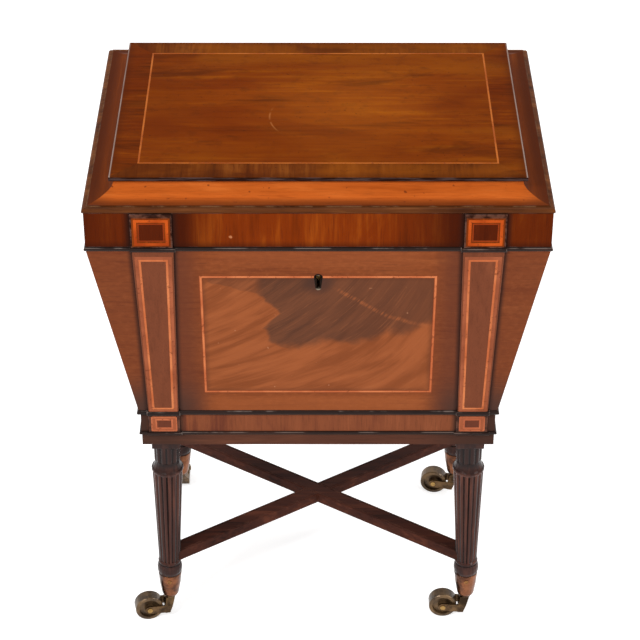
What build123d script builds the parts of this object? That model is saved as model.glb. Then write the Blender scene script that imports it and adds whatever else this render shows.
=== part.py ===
from build123d import *
import math
import os

# A small wine chest with a hinged lid, on a stand of four reeded legs with casters.
# Millimetres. +Z is up, the front faces -Y, and the origin lies on the floor under the middle.

# Plan
LID_W = 520.0
LID_D = 390.6
CASE_TOP_INSET = 2.25
CASE_TAPER = 10.1
FRIEZE_INSET = 1.8
WALL = 14.0

# Heights, from the floor up
LEG_H = 282.0
RAIL_H = 15.7
STAND_MOULDING_H = 4.5
APRON_H = 25.0
WAIST_MOULDING_H = 7.3
CASE_H = 248.9
RIM_H = 5.3
LID_GAP = 0.6
FRIEZE_H = 42.7
LID_EDGE_H = 7.0
COVE_H = 17.5
PANEL_EDGE_H = 6.0

RAIL_TOP_Z = LEG_H + RAIL_H
APRON_FOOT_Z = RAIL_TOP_Z + STAND_MOULDING_H
APRON_TOP_Z = APRON_FOOT_Z + APRON_H
CASE_FOOT_Z = APRON_TOP_Z + WAIST_MOULDING_H
CASE_TOP_Z = CASE_FOOT_Z + CASE_H
RIM_TOP_Z = CASE_TOP_Z + RIM_H
LID_FOOT_Z = RIM_TOP_Z + LID_GAP
LID_EDGE_Z = LID_FOOT_Z + FRIEZE_H
COVE_FOOT_Z = LID_EDGE_Z + LID_EDGE_H
COVE_TOP_Z = COVE_FOOT_Z + COVE_H
TOP_Z = COVE_TOP_Z + PANEL_EDGE_H

# Case
BOTTOM_T = 12.0
LINING_T = 1.0
LINING_DROP = 5.4
PILASTER_INSET = 76.5
PILASTER_TOP_W = 46.0
PILASTER_FOOT_W = 35.6
PILASTER_RAISE = 2.4
RIM_OVERHANG = 2.2
WAIST_OVERHANG = 1.85

# Bottle divisions
DIVIDER_T = 5.0
DIVIDER_H = 110.0
CELL_COLUMNS = 4
CELL_ROWS = 3
DIVIDER_FIT = 0.15

# Stand
APRON_SETBACK = 2.2
APRON_T = 16.0
TABLET_RAISE = 1.8
TABLET_MARGIN = 0.8
STAND_MOULDING_OVERHANG = 2.5
RAIL_SETBACK = 0.45
RAIL_W = 40.0

# Legs, from the rail down
LEG_INSET_X = 27.85
LEG_INSET_Y = 19.55
LEG_SPLAY = 1.0
TENON_HALF = 8.0
TENON_H = 14.0
ABACUS_HALF = 17.0
ABACUS_H = 9.0
ABACUS_TRIM = 0.5
CAPITAL_TOP_R = 16.4
CAPITAL_FOOT_R = 15.8
CAPITAL_H = 25.5
CAPITAL_LOBES = 12
NECK_R = 15.0
COLLAR_R = 19.6
COLLAR_H = 11.5
LIP_H = 5.0
LIP_FOOT_R = 18.7
REEDS = 16
REED_TOP_R = 18.5
REED_FOOT_R = 13.2
LOBE_DEPTH = 0.11
LOBE_SIDES = 4
FOOT_BEAD_R = 14.4
FOOT_BEAD_H = 6.0
FOOT_RING_R = 15.7
FOOT_RING_H = 15.5
RING_SHRINK = 1.5
TURNED_SIDES = 20
ARC_SIDES = 3

# Crossed stretcher bars
BAR_W = 20.5
BAR_T = 13.5
BAR_TOP_Z = 102.7
BAR_TENON = 6.0
BEAD_W = 2.6
QUIRK = 0.8

# Casters
WHEEL_R = 17.5
WHEEL_W = 16.0
WHEEL_RIM_T = 4.2
WHEEL_WEB_T = 8.4
WHEEL_EDGE = 0.9
WHEEL_SIDES = 28
HUB_R = 5.4
HUB_W = 16.4
HUB_GAP = 0.35
TRAIL = 28.5
CASTER_HEADINGS = {"front_left": 12, "front_right": 0, "back_left": -90, "back_right": -7}
AXLE_R = 2.0
AXLE_HEAD_R = 3.2
AXLE_HEAD_H = 1.0
RUNNING_FIT = 0.05
ARM_T = 2.6
ARM_TIP_R = 5.4
ELBOW_Z = 9.8
ELBOW_OUT = -2.8
ELBOW_IN = -9.0
ELBOW_H = 10.8
NECK_FRONT = 4.6
NECK_BACK = -6.2
NECK_HALF = 5.6
FORK_COLLAR_R = 6.6
FORK_COLLAR_H = 3.0
FORK_H = 32.6
SWIVEL_GAP = 0.4
STEM_R = 3.0
STEM_H = 24.0
STEM_END_GAP = 0.5
CUP_H = 36.5
CUP_TOP_R = 14.7
CUP_SHOULDER_R = 10.7
CUP_SHOULDER_H = 4.0
CUP_FLOOR_R = 7.4
CUP_FLOOR_T = 7.0
CUP_WALL = 1.5
CUP_BELLY = 0.6
CUP_SCREW_DROP = 8.0
CUP_SCREW_L = 7.5

# Lid
LID_EDGE_NOSE_R = 3.1
LID_EDGE_STEP = 5.5
LID_FRAME_W = 60.0
COVE_FOOT_INSET = 6.5
COVE_RUN = 27.5
COVE_FILLET = 0.8
COVE_BACK = 12.0
PANEL_OVERHANG = 5.0
PANEL_SUNK = 12.5
PANEL_EDGE_ROUND = 1.6
LID_TABLET_W = 46.0
LID_TABLET_INSET = 75.7

# Hinges
HINGE_INSET = 110.0
HINGE_L = 50.0
HINGE_KNUCKLES = 3
KNUCKLE_GAP = 0.3
HINGE_PROUD = 0.95
BARREL_R = 3.2
BARREL_GAP = 0.4
HINGE_PIN_R = 1.55
LEAF_T = 1.6
LEAF_D = 12.5
SCREW_SPACING = 17.0
SCREW_HEAD_R = 2.6
SCREW_HEAD_H = 1.0
SCREW_R = 1.3
SCREW_L = 11.0
SCREW_SIDES = 12

# Lock, let into the back of the front board
LOCK_W = 76.0
LOCK_T = 10.0
LOCK_DROP = 64.0
LOCK_PLATE = 1.5
SELVEDGE_T = 2.0
KEY_DROP = 37.0
KEY_EYE_R = 3.7
KEY_SLOT_W = 3.6
KEY_LENGTH = 16.0
LINER_WALL = 1.25
LINER_PROUD = 0.3
DRILL_PIN_R = 1.3
STAPLE_X = 16.0
STAPLE_T = 2.0
STAPLE_D = 4.8
STAPLE_DROP = 11.9
STAPLE_SLOT_GAP = 0.5
LINK_W = 60.0
LINK_D = 9.0
LINK_T = 2.0
LINK_SCREW_X = 24.0
BOLT_FIT = 0.3
BOLT_BAR_H = 6.0
BOLT_BAR_DROP = 14.0
BOLT_POST_W = 4.0
BOLT_PRONG = 2.2
BOLT_PRONG_L = 7.2
BOLT_PRONG_GAP = 0.8
BOLT_EYE_FIT = 0.4

SPARE = 20.0
OVERCUT = 1.0
PILASTER_X = LID_W / 2 - PILASTER_INSET
LID_TABLET_X = LID_W / 2 - LID_TABLET_INSET
HINGE_X = LID_W / 2 - HINGE_INSET


def half_w(inset):
    return LID_W / 2 - inset


def half_d(inset):
    return LID_D / 2 - inset


def block(x, y, z):
    """A straight block from three (low, high) pairs."""
    middle = Pos((x[0] + x[1]) / 2, (y[0] + y[1]) / 2, (z[0] + z[1]) / 2)
    return middle * Box(x[1] - x[0], y[1] - y[0], z[1] - z[0])


def level_corners(x, y, z):
    return [(x[0], y[0], z), (x[1], y[0], z), (x[1], y[1], z), (x[0], y[1], z)]


def closed(outlines):
    """A solid from the outlines of all its flat faces."""
    faces = [make_face(Polyline(*outline, close=True)).face() for outline in outlines]
    return Part() + Solid(Shell(faces))


def between(lower, upper):
    """A solid between two outlines of the same shape, with a flat face for each pair of sides."""
    outlines = [lower, upper]
    for i in range(len(lower)):
        j = (i + 1) % len(lower)
        outlines.append([lower[i], lower[j], upper[j], upper[i]])
    return closed(outlines)


def tapered_block(low, high):
    """A block between two level rectangles, each given as (x pair, y pair, z)."""
    return between(level_corners(*low), level_corners(*high))


def group(pieces):
    """Separate pieces that share one node."""
    return Compound(children=[solid for piece in pieces for solid in piece.solids()])


def turned(profile, sides):
    """A turned form in rings of flat sides about Z, from (radius, height) points that start at its foot."""
    turns = [2 * math.pi * i / sides for i in range(sides)]
    rings = [[(radius * math.cos(a), radius * math.sin(a), z) for a in turns] for radius, z in profile]
    outlines = [rings[0], rings[-1]]
    for lower, upper in zip(rings, rings[1:]):
        for i in range(sides):
            j = (i + 1) % sides
            outlines.append([lower[i], lower[j], upper[j], upper[i]])
    return closed(outlines)


def along(curve, steps):
    """Points spaced evenly along a curve, as (radius, height)."""
    points = [curve @ (i / steps) for i in range(steps + 1)]
    return [(point.X, point.Y) for point in points]


def post(x, y, z, radius):
    """An upright cylinder over a (low, high) pair of heights."""
    return Pos(x, y, (z[0] + z[1]) / 2) * Cylinder(radius, z[1] - z[0])


# Mouldings

def nose_face(outer, inner, z):
    """A strip's section with a half-round front edge, facing -Y."""
    r = (z[1] - z[0]) / 2
    straight = Polyline((-(outer - r), z[0]), (-inner, z[0]), (-inner, z[1]), (-(outer - r), z[1]))
    nose = ThreePointArc((-(outer - r), z[1]), (-outer, z[0] + r), (-(outer - r), z[0]))
    return Plane.YZ * make_face([straight, nose])


def strip(face, left, right, offset):
    """A straight length of moulding facing -Y, whose ends are ("mitre" or "square", distance)."""
    box = face.bounding_box()
    inner, outer = -box.max.Y, -box.min.Y

    def end(kind, reach, side):
        if kind == "square":
            return [(side * reach, -inner + SPARE), (side * reach, -outer - SPARE)]
        near, far = reach + inner - offset, reach + outer - offset + SPARE
        return [(side * near, -inner), (side * far, -outer - SPARE)]

    low, high = end(*left, -1), end(*right, 1)
    plan = make_face(Polyline(low[0], high[0], high[1], low[1], close=True))
    wedge = extrude(Pos(0, 0, box.min.Z - OVERCUT) * plan, box.size.Z + 2 * OVERCUT)
    return extrude(face, max(left[1], right[1]) + 2 * SPARE, both=True) & wedge


def ring(face_at, w, d):
    """Four mitred lengths round a rectangle of half sizes w and d; face_at(half size) is the section."""
    pieces = []
    for turn, reach, offset in ((0, w, d), (90, d, w), (180, w, d), (270, d, w)):
        side = strip(face_at(offset), ("mitre", reach), ("mitre", reach), offset)
        pieces.append(Rot(0, 0, turn) * side)
    return pieces


def broken_front(front, face, x, width):
    """Adds the short stretches that break forward round a pair of blocks at +x and -x."""
    for side in (-1, 1):
        front = front + Pos(side * x, 0, 0) * extrude(face, width / 2, both=True)
    return front


# Case

def case_inset(z):
    return CASE_TOP_INSET + (CASE_TOP_Z - z) * math.tan(math.radians(CASE_TAPER))


def case_w(z):
    return half_w(case_inset(z))


def case_d(z):
    return half_d(case_inset(z))


def case_wall_board(side_x, side_y):
    """One wall of the case; the front and back boards cover the ends of the side boards."""
    levels = []
    for z in (CASE_FOOT_Z, CASE_TOP_Z):
        w, d = case_w(z), case_d(z)
        if side_y:
            levels.append(((-w, w), tuple(sorted((side_y * d, side_y * (d - WALL)))), z))
        else:
            levels.append((tuple(sorted((side_x * w, side_x * (w - WALL)))), (WALL - d, d - WALL), z))
    return tapered_block(*levels)


def well(z_low, z_high, inward):
    """The space inside the four walls, drawn in by a further amount."""
    levels = []
    for z in (z_low, z_high):
        w, d = case_w(z) - WALL - inward, case_d(z) - WALL - inward
        levels.append(((-w, w), (-d, d), z))
    return tapered_block(*levels)


def make_pilaster(side):
    levels = []
    for z, width in ((CASE_FOOT_Z, PILASTER_FOOT_W), (CASE_TOP_Z, PILASTER_TOP_W)):
        x = side * PILASTER_X
        face = -case_d(z)
        levels.append(((x - width / 2, x + width / 2), (face - PILASTER_RAISE, face), z))
    return tapered_block(*levels)


BACK_Y = half_d(FRIEZE_INSET)
LINING_FOOT_Z = CASE_FOOT_Z + BOTTOM_T
LINING_TOP_Z = CASE_TOP_Z - LINING_DROP
WELL_FLOOR_Z = LINING_FOOT_Z + LINING_T


def make_rim():
    """Moulding on the top edge of the case: half-round at the front and sides, flush at the back."""
    z = (CASE_TOP_Z, RIM_TOP_Z)
    w, d = case_w(CASE_TOP_Z), case_d(CASE_TOP_Z)
    out_w, out_d = w + RIM_OVERHANG, d + RIM_OVERHANG
    front = strip(nose_face(out_d, d - WALL, z), ("mitre", out_w), ("mitre", out_w), out_d)
    break_face = nose_face(out_d + PILASTER_RAISE, d - WALL, z)
    front = broken_front(front, break_face, PILASTER_X, PILASTER_TOP_W + 2 * RIM_OVERHANG)
    side_face = nose_face(out_w, w - WALL, z)
    right = Rot(0, 0, 90) * strip(side_face, ("mitre", out_d), ("square", BACK_Y), out_w)
    left = Rot(0, 0, -90) * strip(side_face, ("square", BACK_Y), ("mitre", out_d), out_w)
    back = block((WALL - w, w - WALL), (d - WALL, BACK_Y), z)
    return front, left, right, back


def make_waist():
    """Moulding under the foot of the case, on top of the aprons."""
    z = (APRON_TOP_Z, CASE_FOOT_Z)
    w = case_w(CASE_FOOT_Z) + WAIST_OVERHANG
    d = case_d(CASE_FOOT_Z) + WAIST_OVERHANG
    depth = WAIST_OVERHANG + APRON_SETBACK + APRON_T
    pieces = ring(lambda half: nose_face(half, half - depth, z), w, d)
    face = nose_face(d + PILASTER_RAISE, d - depth, z)
    pieces[0] = broken_front(pieces[0], face, PILASTER_X, PILASTER_FOOT_W + 2 * WAIST_OVERHANG)
    return pieces


def make_lining():
    outside = well(LINING_FOOT_Z, LINING_TOP_Z, 0)
    inside = well(WELL_FLOOR_Z, LINING_TOP_Z + LINING_DROP, LINING_T)
    return outside - inside


# Bottle divisions, halved over each other

DIVIDER_TOP_Z = WELL_FLOOR_Z + DIVIDER_H
CELL_W = 2 * (case_w(WELL_FLOOR_Z) - WALL - LINING_T) / CELL_COLUMNS
CELL_D = 2 * (case_d(WELL_FLOOR_Z) - WALL - LINING_T) / CELL_ROWS
CROSS_X = [CELL_W * (i - CELL_COLUMNS / 2) for i in range(1, CELL_COLUMNS)]
LONG_Y = [CELL_D * (i - CELL_ROWS / 2) for i in range(1, CELL_ROWS)]


def division_blank(x, y):
    """A division's full outline between the lining's walls; one of x, y is a fixed pair."""
    levels = []
    for z in (WELL_FLOOR_Z, DIVIDER_TOP_Z):
        w = case_w(z) - WALL - LINING_T - DIVIDER_FIT
        d = case_d(z) - WALL - LINING_T - DIVIDER_FIT
        levels.append((x or (-w, w), y or (-d, d), z))
    return tapered_block(*levels)


def make_divisions():
    half = DIVIDER_T / 2
    middle_z = (WELL_FLOOR_Z + DIVIDER_TOP_Z) / 2
    slot = half + DIVIDER_FIT
    longs, crosses = [], []
    for y in LONG_Y:
        piece = division_blank(None, (y - half, y + half))
        for x in CROSS_X:
            slot_z = (WELL_FLOOR_Z - OVERCUT, middle_z + DIVIDER_FIT)
            piece -= block((x - slot, x + slot), (y - slot, y + slot), slot_z)
        longs.append(piece)
    for x in CROSS_X:
        piece = division_blank((x - half, x + half), None)
        for y in LONG_Y:
            piece -= block((x - slot, x + slot), (y - slot, y + slot), (middle_z, DIVIDER_TOP_Z + OVERCUT))
        crosses.append(piece)
    return longs, crosses


# Stand

APRON_HALF_W = case_w(CASE_FOOT_Z) - APRON_SETBACK
APRON_HALF_D = case_d(CASE_FOOT_Z) - APRON_SETBACK
RAIL_HALF_W = APRON_HALF_W - RAIL_SETBACK
RAIL_HALF_D = APRON_HALF_D - RAIL_SETBACK
LEG_X = RAIL_HALF_W - LEG_INSET_X
LEG_Y = RAIL_HALF_D - LEG_INSET_Y
TABLET_W = PILASTER_FOOT_W + 2 * TABLET_MARGIN


def frame_bars(w, d, width, z):
    """Front, back, left and right bars of a plain frame; the sides fit between front and back."""
    front = block((-w, w), (-d, width - d), z)
    back = block((-w, w), (d - width, d), z)
    left = block((-w, width - w), (width - d, d - width), z)
    right = block((w - width, w), (width - d, d - width), z)
    return front, back, left, right


def make_apron_tablets():
    pieces = []
    for side in (-1, 1):
        x = side * PILASTER_X
        span = (x - TABLET_W / 2, x + TABLET_W / 2)
        pieces.append(block(span, (-APRON_HALF_D - TABLET_RAISE, -APRON_HALF_D), (APRON_FOOT_Z, APRON_TOP_Z)))
    return pieces


def make_stand_moulding():
    z = (RAIL_TOP_Z, APRON_FOOT_Z)
    w, d = APRON_HALF_W + STAND_MOULDING_OVERHANG, APRON_HALF_D + STAND_MOULDING_OVERHANG
    depth = STAND_MOULDING_OVERHANG + APRON_T
    pieces = ring(lambda half: nose_face(half, half - depth, z), w, d)
    face = nose_face(d + TABLET_RAISE, d - depth, z)
    pieces[0] = broken_front(pieces[0], face, PILASTER_X, TABLET_W + 2 * STAND_MOULDING_OVERHANG)
    return pieces


# Legs. Each is drawn upright on its own axis and then splayed and placed.

CUP_FOOT_Z = FORK_H + SWIVEL_GAP
CUP_TOP_Z = CUP_FOOT_Z + CUP_H
TOE_FOOT_Z = CUP_FOOT_Z + CUP_FLOOR_T
RING_TOP_Z = CUP_TOP_Z + FOOT_RING_H
REED_FOOT_Z = RING_TOP_Z + FOOT_BEAD_H
ABACUS_Z = LEG_H - ABACUS_H
CAPITAL_Z = ABACUS_Z - CAPITAL_H
LIP_TOP_Z = CAPITAL_Z - COLLAR_H
REED_TOP_Z = LIP_TOP_Z - LIP_H
TENON_TOP_Z = LEG_H + TENON_H
TOE_TOP_R = CUP_TOP_R - CUP_WALL
TOE_FOOT_R = CUP_SHOULDER_R - CUP_WALL
LEG_SIDES = {"front_left": (-1, -1), "front_right": (1, -1), "back_left": (-1, 1), "back_right": (1, 1)}


def place_on_leg(piece, side_x, side_y):
    splayed = piece.rotate(Axis((0, 0, LEG_H), (0, 1, 0)), -side_x * LEG_SPLAY)
    return Pos(side_x * LEG_X, side_y * LEG_Y, 0) * splayed


def leg_axis_x(z):
    """How far out from the middle a leg's axis is at a height."""
    return LEG_X + (LEG_H - z) * math.tan(math.radians(LEG_SPLAY))


def lobed_outline(count, radius, z):
    """A level ring of convex lobes; each is an arc from valley to valley, in short straight sides."""
    valley = radius * (1 - LOBE_DEPTH)
    half_step = math.pi / count
    half_chord = valley * math.sin(half_step)
    rise = radius - valley * math.cos(half_step)
    lobe_r = (half_chord ** 2 + rise ** 2) / (2 * rise)
    half_turn = math.asin(half_chord / lobe_r)
    points = []
    for i in range(count * LOBE_SIDES):
        middle = (2 * (i // LOBE_SIDES) + 1) * half_step
        turn = (2 * (i % LOBE_SIDES) / LOBE_SIDES - 1) * half_turn
        out = radius - lobe_r * (1 - math.cos(turn))
        across = lobe_r * math.sin(turn)
        points.append((out * math.cos(middle) - across * math.sin(middle),
                       out * math.sin(middle) + across * math.cos(middle), z))
    return points


def head_profile():
    """The collar over the reeds: a rounded lip, then a hollow that rises to the capital."""
    lip = ThreePointArc((LIP_FOOT_R, REED_TOP_Z), (COLLAR_R, LIP_TOP_Z - LIP_H / 2),
                        (COLLAR_R - RING_SHRINK / 2, LIP_TOP_Z))
    hollow = TangentArc((NECK_R, CAPITAL_Z), (COLLAR_R - RING_SHRINK, LIP_TOP_Z), tangent=(0, -1))
    return along(lip, ARC_SIDES) + along(hollow, ARC_SIDES)[::-1]


def toe_profile():
    return [(TOE_FOOT_R, TOE_FOOT_Z), (TOE_TOP_R, CUP_TOP_Z)]


def foot_profile():
    """The toe that fills the caster's cup, the foot ring and the bead under the reeds."""
    ring_r = FOOT_RING_R - RING_SHRINK
    bead_r = FOOT_BEAD_R - RING_SHRINK
    ring_mid_z = (CUP_TOP_Z + RING_TOP_Z) / 2
    bead_mid_z = (RING_TOP_Z + REED_FOOT_Z) / 2
    foot_ring = ThreePointArc((ring_r, CUP_TOP_Z), (FOOT_RING_R, ring_mid_z), (ring_r, RING_TOP_Z))
    bead = ThreePointArc((bead_r, RING_TOP_Z), (FOOT_BEAD_R, bead_mid_z), (bead_r, REED_FOOT_Z))
    return toe_profile() + along(foot_ring, ARC_SIDES) + along(bead, ARC_SIDES)


def tenon_block(foot_z):
    side = (-TENON_HALF, TENON_HALF)
    return block(side, side, (foot_z, TENON_TOP_Z))


def make_leg_blank():
    """The abacus is a little too tall, to be trimmed level under the rails once the leg is splayed."""
    capital = between(lobed_outline(CAPITAL_LOBES, CAPITAL_FOOT_R, CAPITAL_Z),
                      lobed_outline(CAPITAL_LOBES, CAPITAL_TOP_R, ABACUS_Z))
    shaft = between(lobed_outline(REEDS, REED_FOOT_R, REED_FOOT_Z),
                    lobed_outline(REEDS, REED_TOP_R, REED_TOP_Z))
    side = (-ABACUS_HALF, ABACUS_HALF)
    abacus = block(side, side, (ABACUS_Z, LEG_H + ABACUS_TRIM))
    foot, head = turned(foot_profile(), TURNED_SIDES), turned(head_profile(), TURNED_SIDES)
    return foot + shaft + head + capital + abacus + tenon_block(LEG_H)


def make_cup_blank():
    """A socket over the leg's toe, swelling a little outside and rounded in steps at its foot."""
    shoulder_z = CUP_FOOT_Z + CUP_SHOULDER_H
    belly = ((CUP_TOP_R + CUP_SHOULDER_R) / 2 + CUP_BELLY, (CUP_TOP_Z + shoulder_z) / 2)
    knee = ((CUP_SHOULDER_R + CUP_FLOOR_R) / 2 + CUP_BELLY, (shoulder_z + CUP_FOOT_Z) / 2 - CUP_BELLY)
    outside = [(CUP_FLOOR_R, CUP_FOOT_Z), knee, (CUP_SHOULDER_R, shoulder_z), belly, (CUP_TOP_R, CUP_TOP_Z)]
    return turned(outside, TURNED_SIDES) - turned(toe_profile(), TURNED_SIDES)


def make_cup_screw(side_y):
    """A flat-headed screw through the cup into the toe, on the outer side."""
    neck = -SCREW_HEAD_H
    profile = [(SCREW_R, neck - CUP_SCREW_L), (SCREW_R, neck), (SCREW_HEAD_R, neck), (SCREW_HEAD_R, 0)]
    screw = Rot(-side_y * 90, 0, 0) * turned(profile, SCREW_SIDES)
    return Pos(0, side_y * CUP_TOP_R, CUP_TOP_Z - CUP_SCREW_DROP) * screw


# Stretcher

BAR_FOOT_Z = BAR_TOP_Z - BAR_T
BAR_END_X = leg_axis_x((BAR_TOP_Z + BAR_FOOT_Z) / 2)
BAR_ANGLE = math.degrees(math.atan2(LEG_Y, BAR_END_X))
BAR_HALF_L = math.hypot(BAR_END_X, LEG_Y) - REED_FOOT_R + BAR_TENON


def bar_face():
    """Section with a sunk line inside each top edge, which leaves a bead along the edge."""
    w = BAR_W / 2
    top, low = BAR_TOP_Z, BAR_FOOT_Z
    groove_out, groove_in = w - BEAD_W, w - BEAD_W - QUIRK
    right = [(w, low), (w, top - QUIRK), (w - QUIRK, top), (groove_out, top), (groove_out, top - QUIRK),
             (groove_in, top)]
    points = right + [(-x, z) for x, z in reversed(right)]
    return Plane.YZ * make_face(Polyline(*points, close=True))


def make_bars():
    """The two bars, halved over each other where they cross."""
    blank = extrude(bar_face(), BAR_HALF_L, both=True)
    under = Rot(0, 0, BAR_ANGLE) * blank
    over = Rot(0, 0, -BAR_ANGLE) * blank
    middle_z = (BAR_TOP_Z + BAR_FOOT_Z) / 2
    reach = (-BAR_W, BAR_W)
    crossing = extrude(make_face(Polyline(*crossing_corners(), close=True)), BAR_TOP_Z + SPARE)
    lower_half = block(reach, reach, (BAR_FOOT_Z - OVERCUT, middle_z))
    upper_half = block(reach, reach, (middle_z, BAR_TOP_Z + OVERCUT))
    return under - (crossing & upper_half), over - (crossing & lower_half)


def crossing_corners():
    """The diamond where the bars' outlines cross, seen from above."""
    angle = math.radians(BAR_ANGLE)
    along_x = BAR_W / (2 * math.sin(angle))
    along_y = BAR_W / (2 * math.cos(angle))
    return (-along_x, 0), (0, -along_y), (along_x, 0), (0, along_y)


# Casters, trailing towards -X, drawn about the swivel axis

SLOT_HALF = HUB_W / 2 + HUB_GAP
FORK_HALF = SLOT_HALF + ARM_T
SWIVEL_X = leg_axis_x(CUP_FOOT_Z)
STEM_TOP_Z = FORK_H + STEM_H


def arm_outline():
    """One arm of the fork from the side, as (x, z): a bar from the elbow to a round tip at the axle."""
    bar = Polyline((ELBOW_OUT, ELBOW_Z), (ELBOW_OUT, ELBOW_Z + ELBOW_H), (-TRAIL, WHEEL_R + ARM_TIP_R),
                   (-TRAIL, WHEEL_R - ARM_TIP_R), close=True)
    return make_face(bar) + Pos(-TRAIL, WHEEL_R) * Circle(ARM_TIP_R)


def make_fork():
    """Two arms and a neck that leans over the elbow, with a collar and the swivel stem above it."""
    arms = extrude(Plane.XZ * arm_outline(), FORK_HALF, both=True)
    arms -= block((-TRAIL - 2 * WHEEL_R, ELBOW_IN), (-SLOT_HALF, SLOT_HALF), (0, FORK_H))
    width, neck_width = (-FORK_HALF, FORK_HALF), (-NECK_HALF, NECK_HALF)
    collar_foot = FORK_H - FORK_COLLAR_H
    elbow = ((ELBOW_IN, ELBOW_OUT), width, ELBOW_Z)
    bend = ((ELBOW_IN, (ELBOW_OUT + NECK_FRONT) / 2), width, ELBOW_Z + ELBOW_H)
    top = ((NECK_BACK, NECK_FRONT), neck_width, collar_foot)
    neck = tapered_block(elbow, bend) + tapered_block(bend, top)
    collar = turned([(FORK_COLLAR_R, collar_foot), (FORK_COLLAR_R, FORK_H)], TURNED_SIDES)
    stem = post(0, 0, (FORK_H, STEM_TOP_Z), STEM_R)
    return arms + neck + collar + stem - axle_bar(2 * FORK_HALF, AXLE_R)


def axle_bar(length, radius):
    return Pos(-TRAIL, 0, WHEEL_R) * Rot(90, 0, 0) * Cylinder(radius, length)


def make_axle():
    """A pin through both arms with a flat head at each end."""
    head = turned([(AXLE_HEAD_R, FORK_HALF), (AXLE_HEAD_R, FORK_HALF + AXLE_HEAD_H)], SCREW_SIDES)
    heads = [Rot(turn, 0, 0) * head for turn in (90, -90)]
    return axle_bar(2 * FORK_HALF, AXLE_R) + Pos(-TRAIL, 0, WHEEL_R) * (heads[0] + heads[1])


def make_wheel():
    """A wheel with a raised rim and hub and a sunk web, turned about its own axle."""
    face, web, hub = WHEEL_W / 2, WHEEL_WEB_T / 2, HUB_W / 2
    rim_in = WHEEL_R - WHEEL_RIM_T
    half = [(HUB_R, hub), (HUB_R + WHEEL_EDGE, web), (rim_in - WHEEL_EDGE, web), (rim_in, face),
            (WHEEL_R - WHEEL_EDGE, face), (WHEEL_R, face - WHEEL_EDGE)]
    profile = [(radius, -y) for radius, y in half] + half[::-1]
    wheel = Pos(-TRAIL, 0, WHEEL_R) * Rot(90, 0, 0) * turned(profile, WHEEL_SIDES)
    return wheel - axle_bar(2 * HUB_W, AXLE_R + RUNNING_FIT)


def place_on_caster(piece, name):
    """Turns a caster piece to its leg's heading and stands it on that leg's swivel axis."""
    side_x, side_y = LEG_SIDES[name]
    return Pos(side_x * SWIVEL_X, side_y * LEG_Y, 0) * Rot(0, 0, CASTER_HEADINGS[name]) * piece


# Lid

def lid_edge_face(half):
    """The edge moulding: a half-round nose with a small step above it."""
    z = LID_EDGE_Z
    nose = half - LID_EDGE_NOSE_R
    nose_top = z + 2 * LID_EDGE_NOSE_R
    inner = half - LID_FRAME_W
    step = half - LID_EDGE_STEP
    edges = [
        ThreePointArc((-nose, z), (-half, z + LID_EDGE_NOSE_R), (-nose, nose_top)),
        Polyline((-nose, nose_top), (-step, nose_top), (-step, COVE_FOOT_Z), (-inner, COVE_FOOT_Z),
                 (-inner, z), (-nose, z)),
    ]
    return Plane.YZ * make_face(edges)


def make_lid_edge():
    """The edge moulding round the front and sides, and a plain bar that is flush with the back."""
    w, d = half_w(0), half_d(0)
    front = strip(lid_edge_face(d), ("mitre", w), ("mitre", w), d)
    right = Rot(0, 0, 90) * strip(lid_edge_face(w), ("mitre", d), ("square", BACK_Y), w)
    left = Rot(0, 0, -90) * strip(lid_edge_face(w), ("square", BACK_Y), ("mitre", d), w)
    inner_w = w - LID_FRAME_W
    back = block((-inner_w, inner_w), (d - LID_FRAME_W, BACK_Y), (LID_EDGE_Z, COVE_FOOT_Z))
    return front, left, right, back


def cove_face(half):
    """The hollow moulding, in two arcs: level at its foot and upright under the panel."""
    foot = half - COVE_FOOT_INSET
    inner = foot - COVE_RUN - COVE_BACK
    fillet_z = COVE_FOOT_Z + COVE_FILLET
    rise = COVE_TOP_Z - fillet_z
    corner = (COVE_RUN + rise - math.hypot(COVE_RUN, rise)) / 2
    join = (COVE_RUN - foot - corner, fillet_z + corner)
    low = TangentArc((-foot, fillet_z), join, tangent=(1, 0))
    high = TangentArc(join, (COVE_RUN - foot, COVE_TOP_Z), tangent=low % 1)
    rest = Polyline((COVE_RUN - foot, COVE_TOP_Z), (-inner, COVE_TOP_Z), (-inner, COVE_FOOT_Z),
                    (-foot, COVE_FOOT_Z), (-foot, fillet_z))
    return Plane.YZ * make_face([low, high, rest])


def make_panel():
    """The raised panel, with a tongue that fills the cove frame."""
    edge = COVE_FOOT_INSET + COVE_RUN - PANEL_OVERHANG
    tongue = COVE_FOOT_INSET + COVE_RUN + COVE_BACK
    top = block((-half_w(edge), half_w(edge)), (-half_d(edge), half_d(edge)), (COVE_TOP_Z, TOP_Z))
    round_r = min(PANEL_EDGE_ROUND, PANEL_EDGE_H / 3)
    top = fillet(top.edges().filter_by(Axis.Z, reverse=True), round_r)
    sunk = (COVE_TOP_Z - PANEL_SUNK, COVE_TOP_Z)
    return top + block((-half_w(tongue), half_w(tongue)), (-half_d(tongue), half_d(tongue)), sunk)


def make_lid_friezes():
    return frame_bars(half_w(FRIEZE_INSET), half_d(FRIEZE_INSET), WALL, (LID_FOOT_Z, LID_EDGE_Z))


def make_lid_tablets():
    face = -half_d(FRIEZE_INSET)
    pieces = []
    for side in (-1, 1):
        x = side * LID_TABLET_X
        span = (x - LID_TABLET_W / 2, x + LID_TABLET_W / 2)
        pieces.append(block(span, (face - PILASTER_RAISE, face), (LID_FOOT_Z, LID_EDGE_Z)))
    return pieces


# Hinges

HINGE_Y = BACK_Y + HINGE_PROUD
HINGE_Z = RIM_TOP_Z + LID_GAP / 2
SCREW_Y = HINGE_Y - LEAF_D / 2 - BARREL_R / 2


def barrel(x, radius):
    """A cylinder on the hinge axis over a (low, high) pair of x."""
    return Pos((x[0] + x[1]) / 2, HINGE_Y, HINGE_Z) * Rot(0, 90, 0) * Cylinder(radius, x[1] - x[0])


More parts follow.
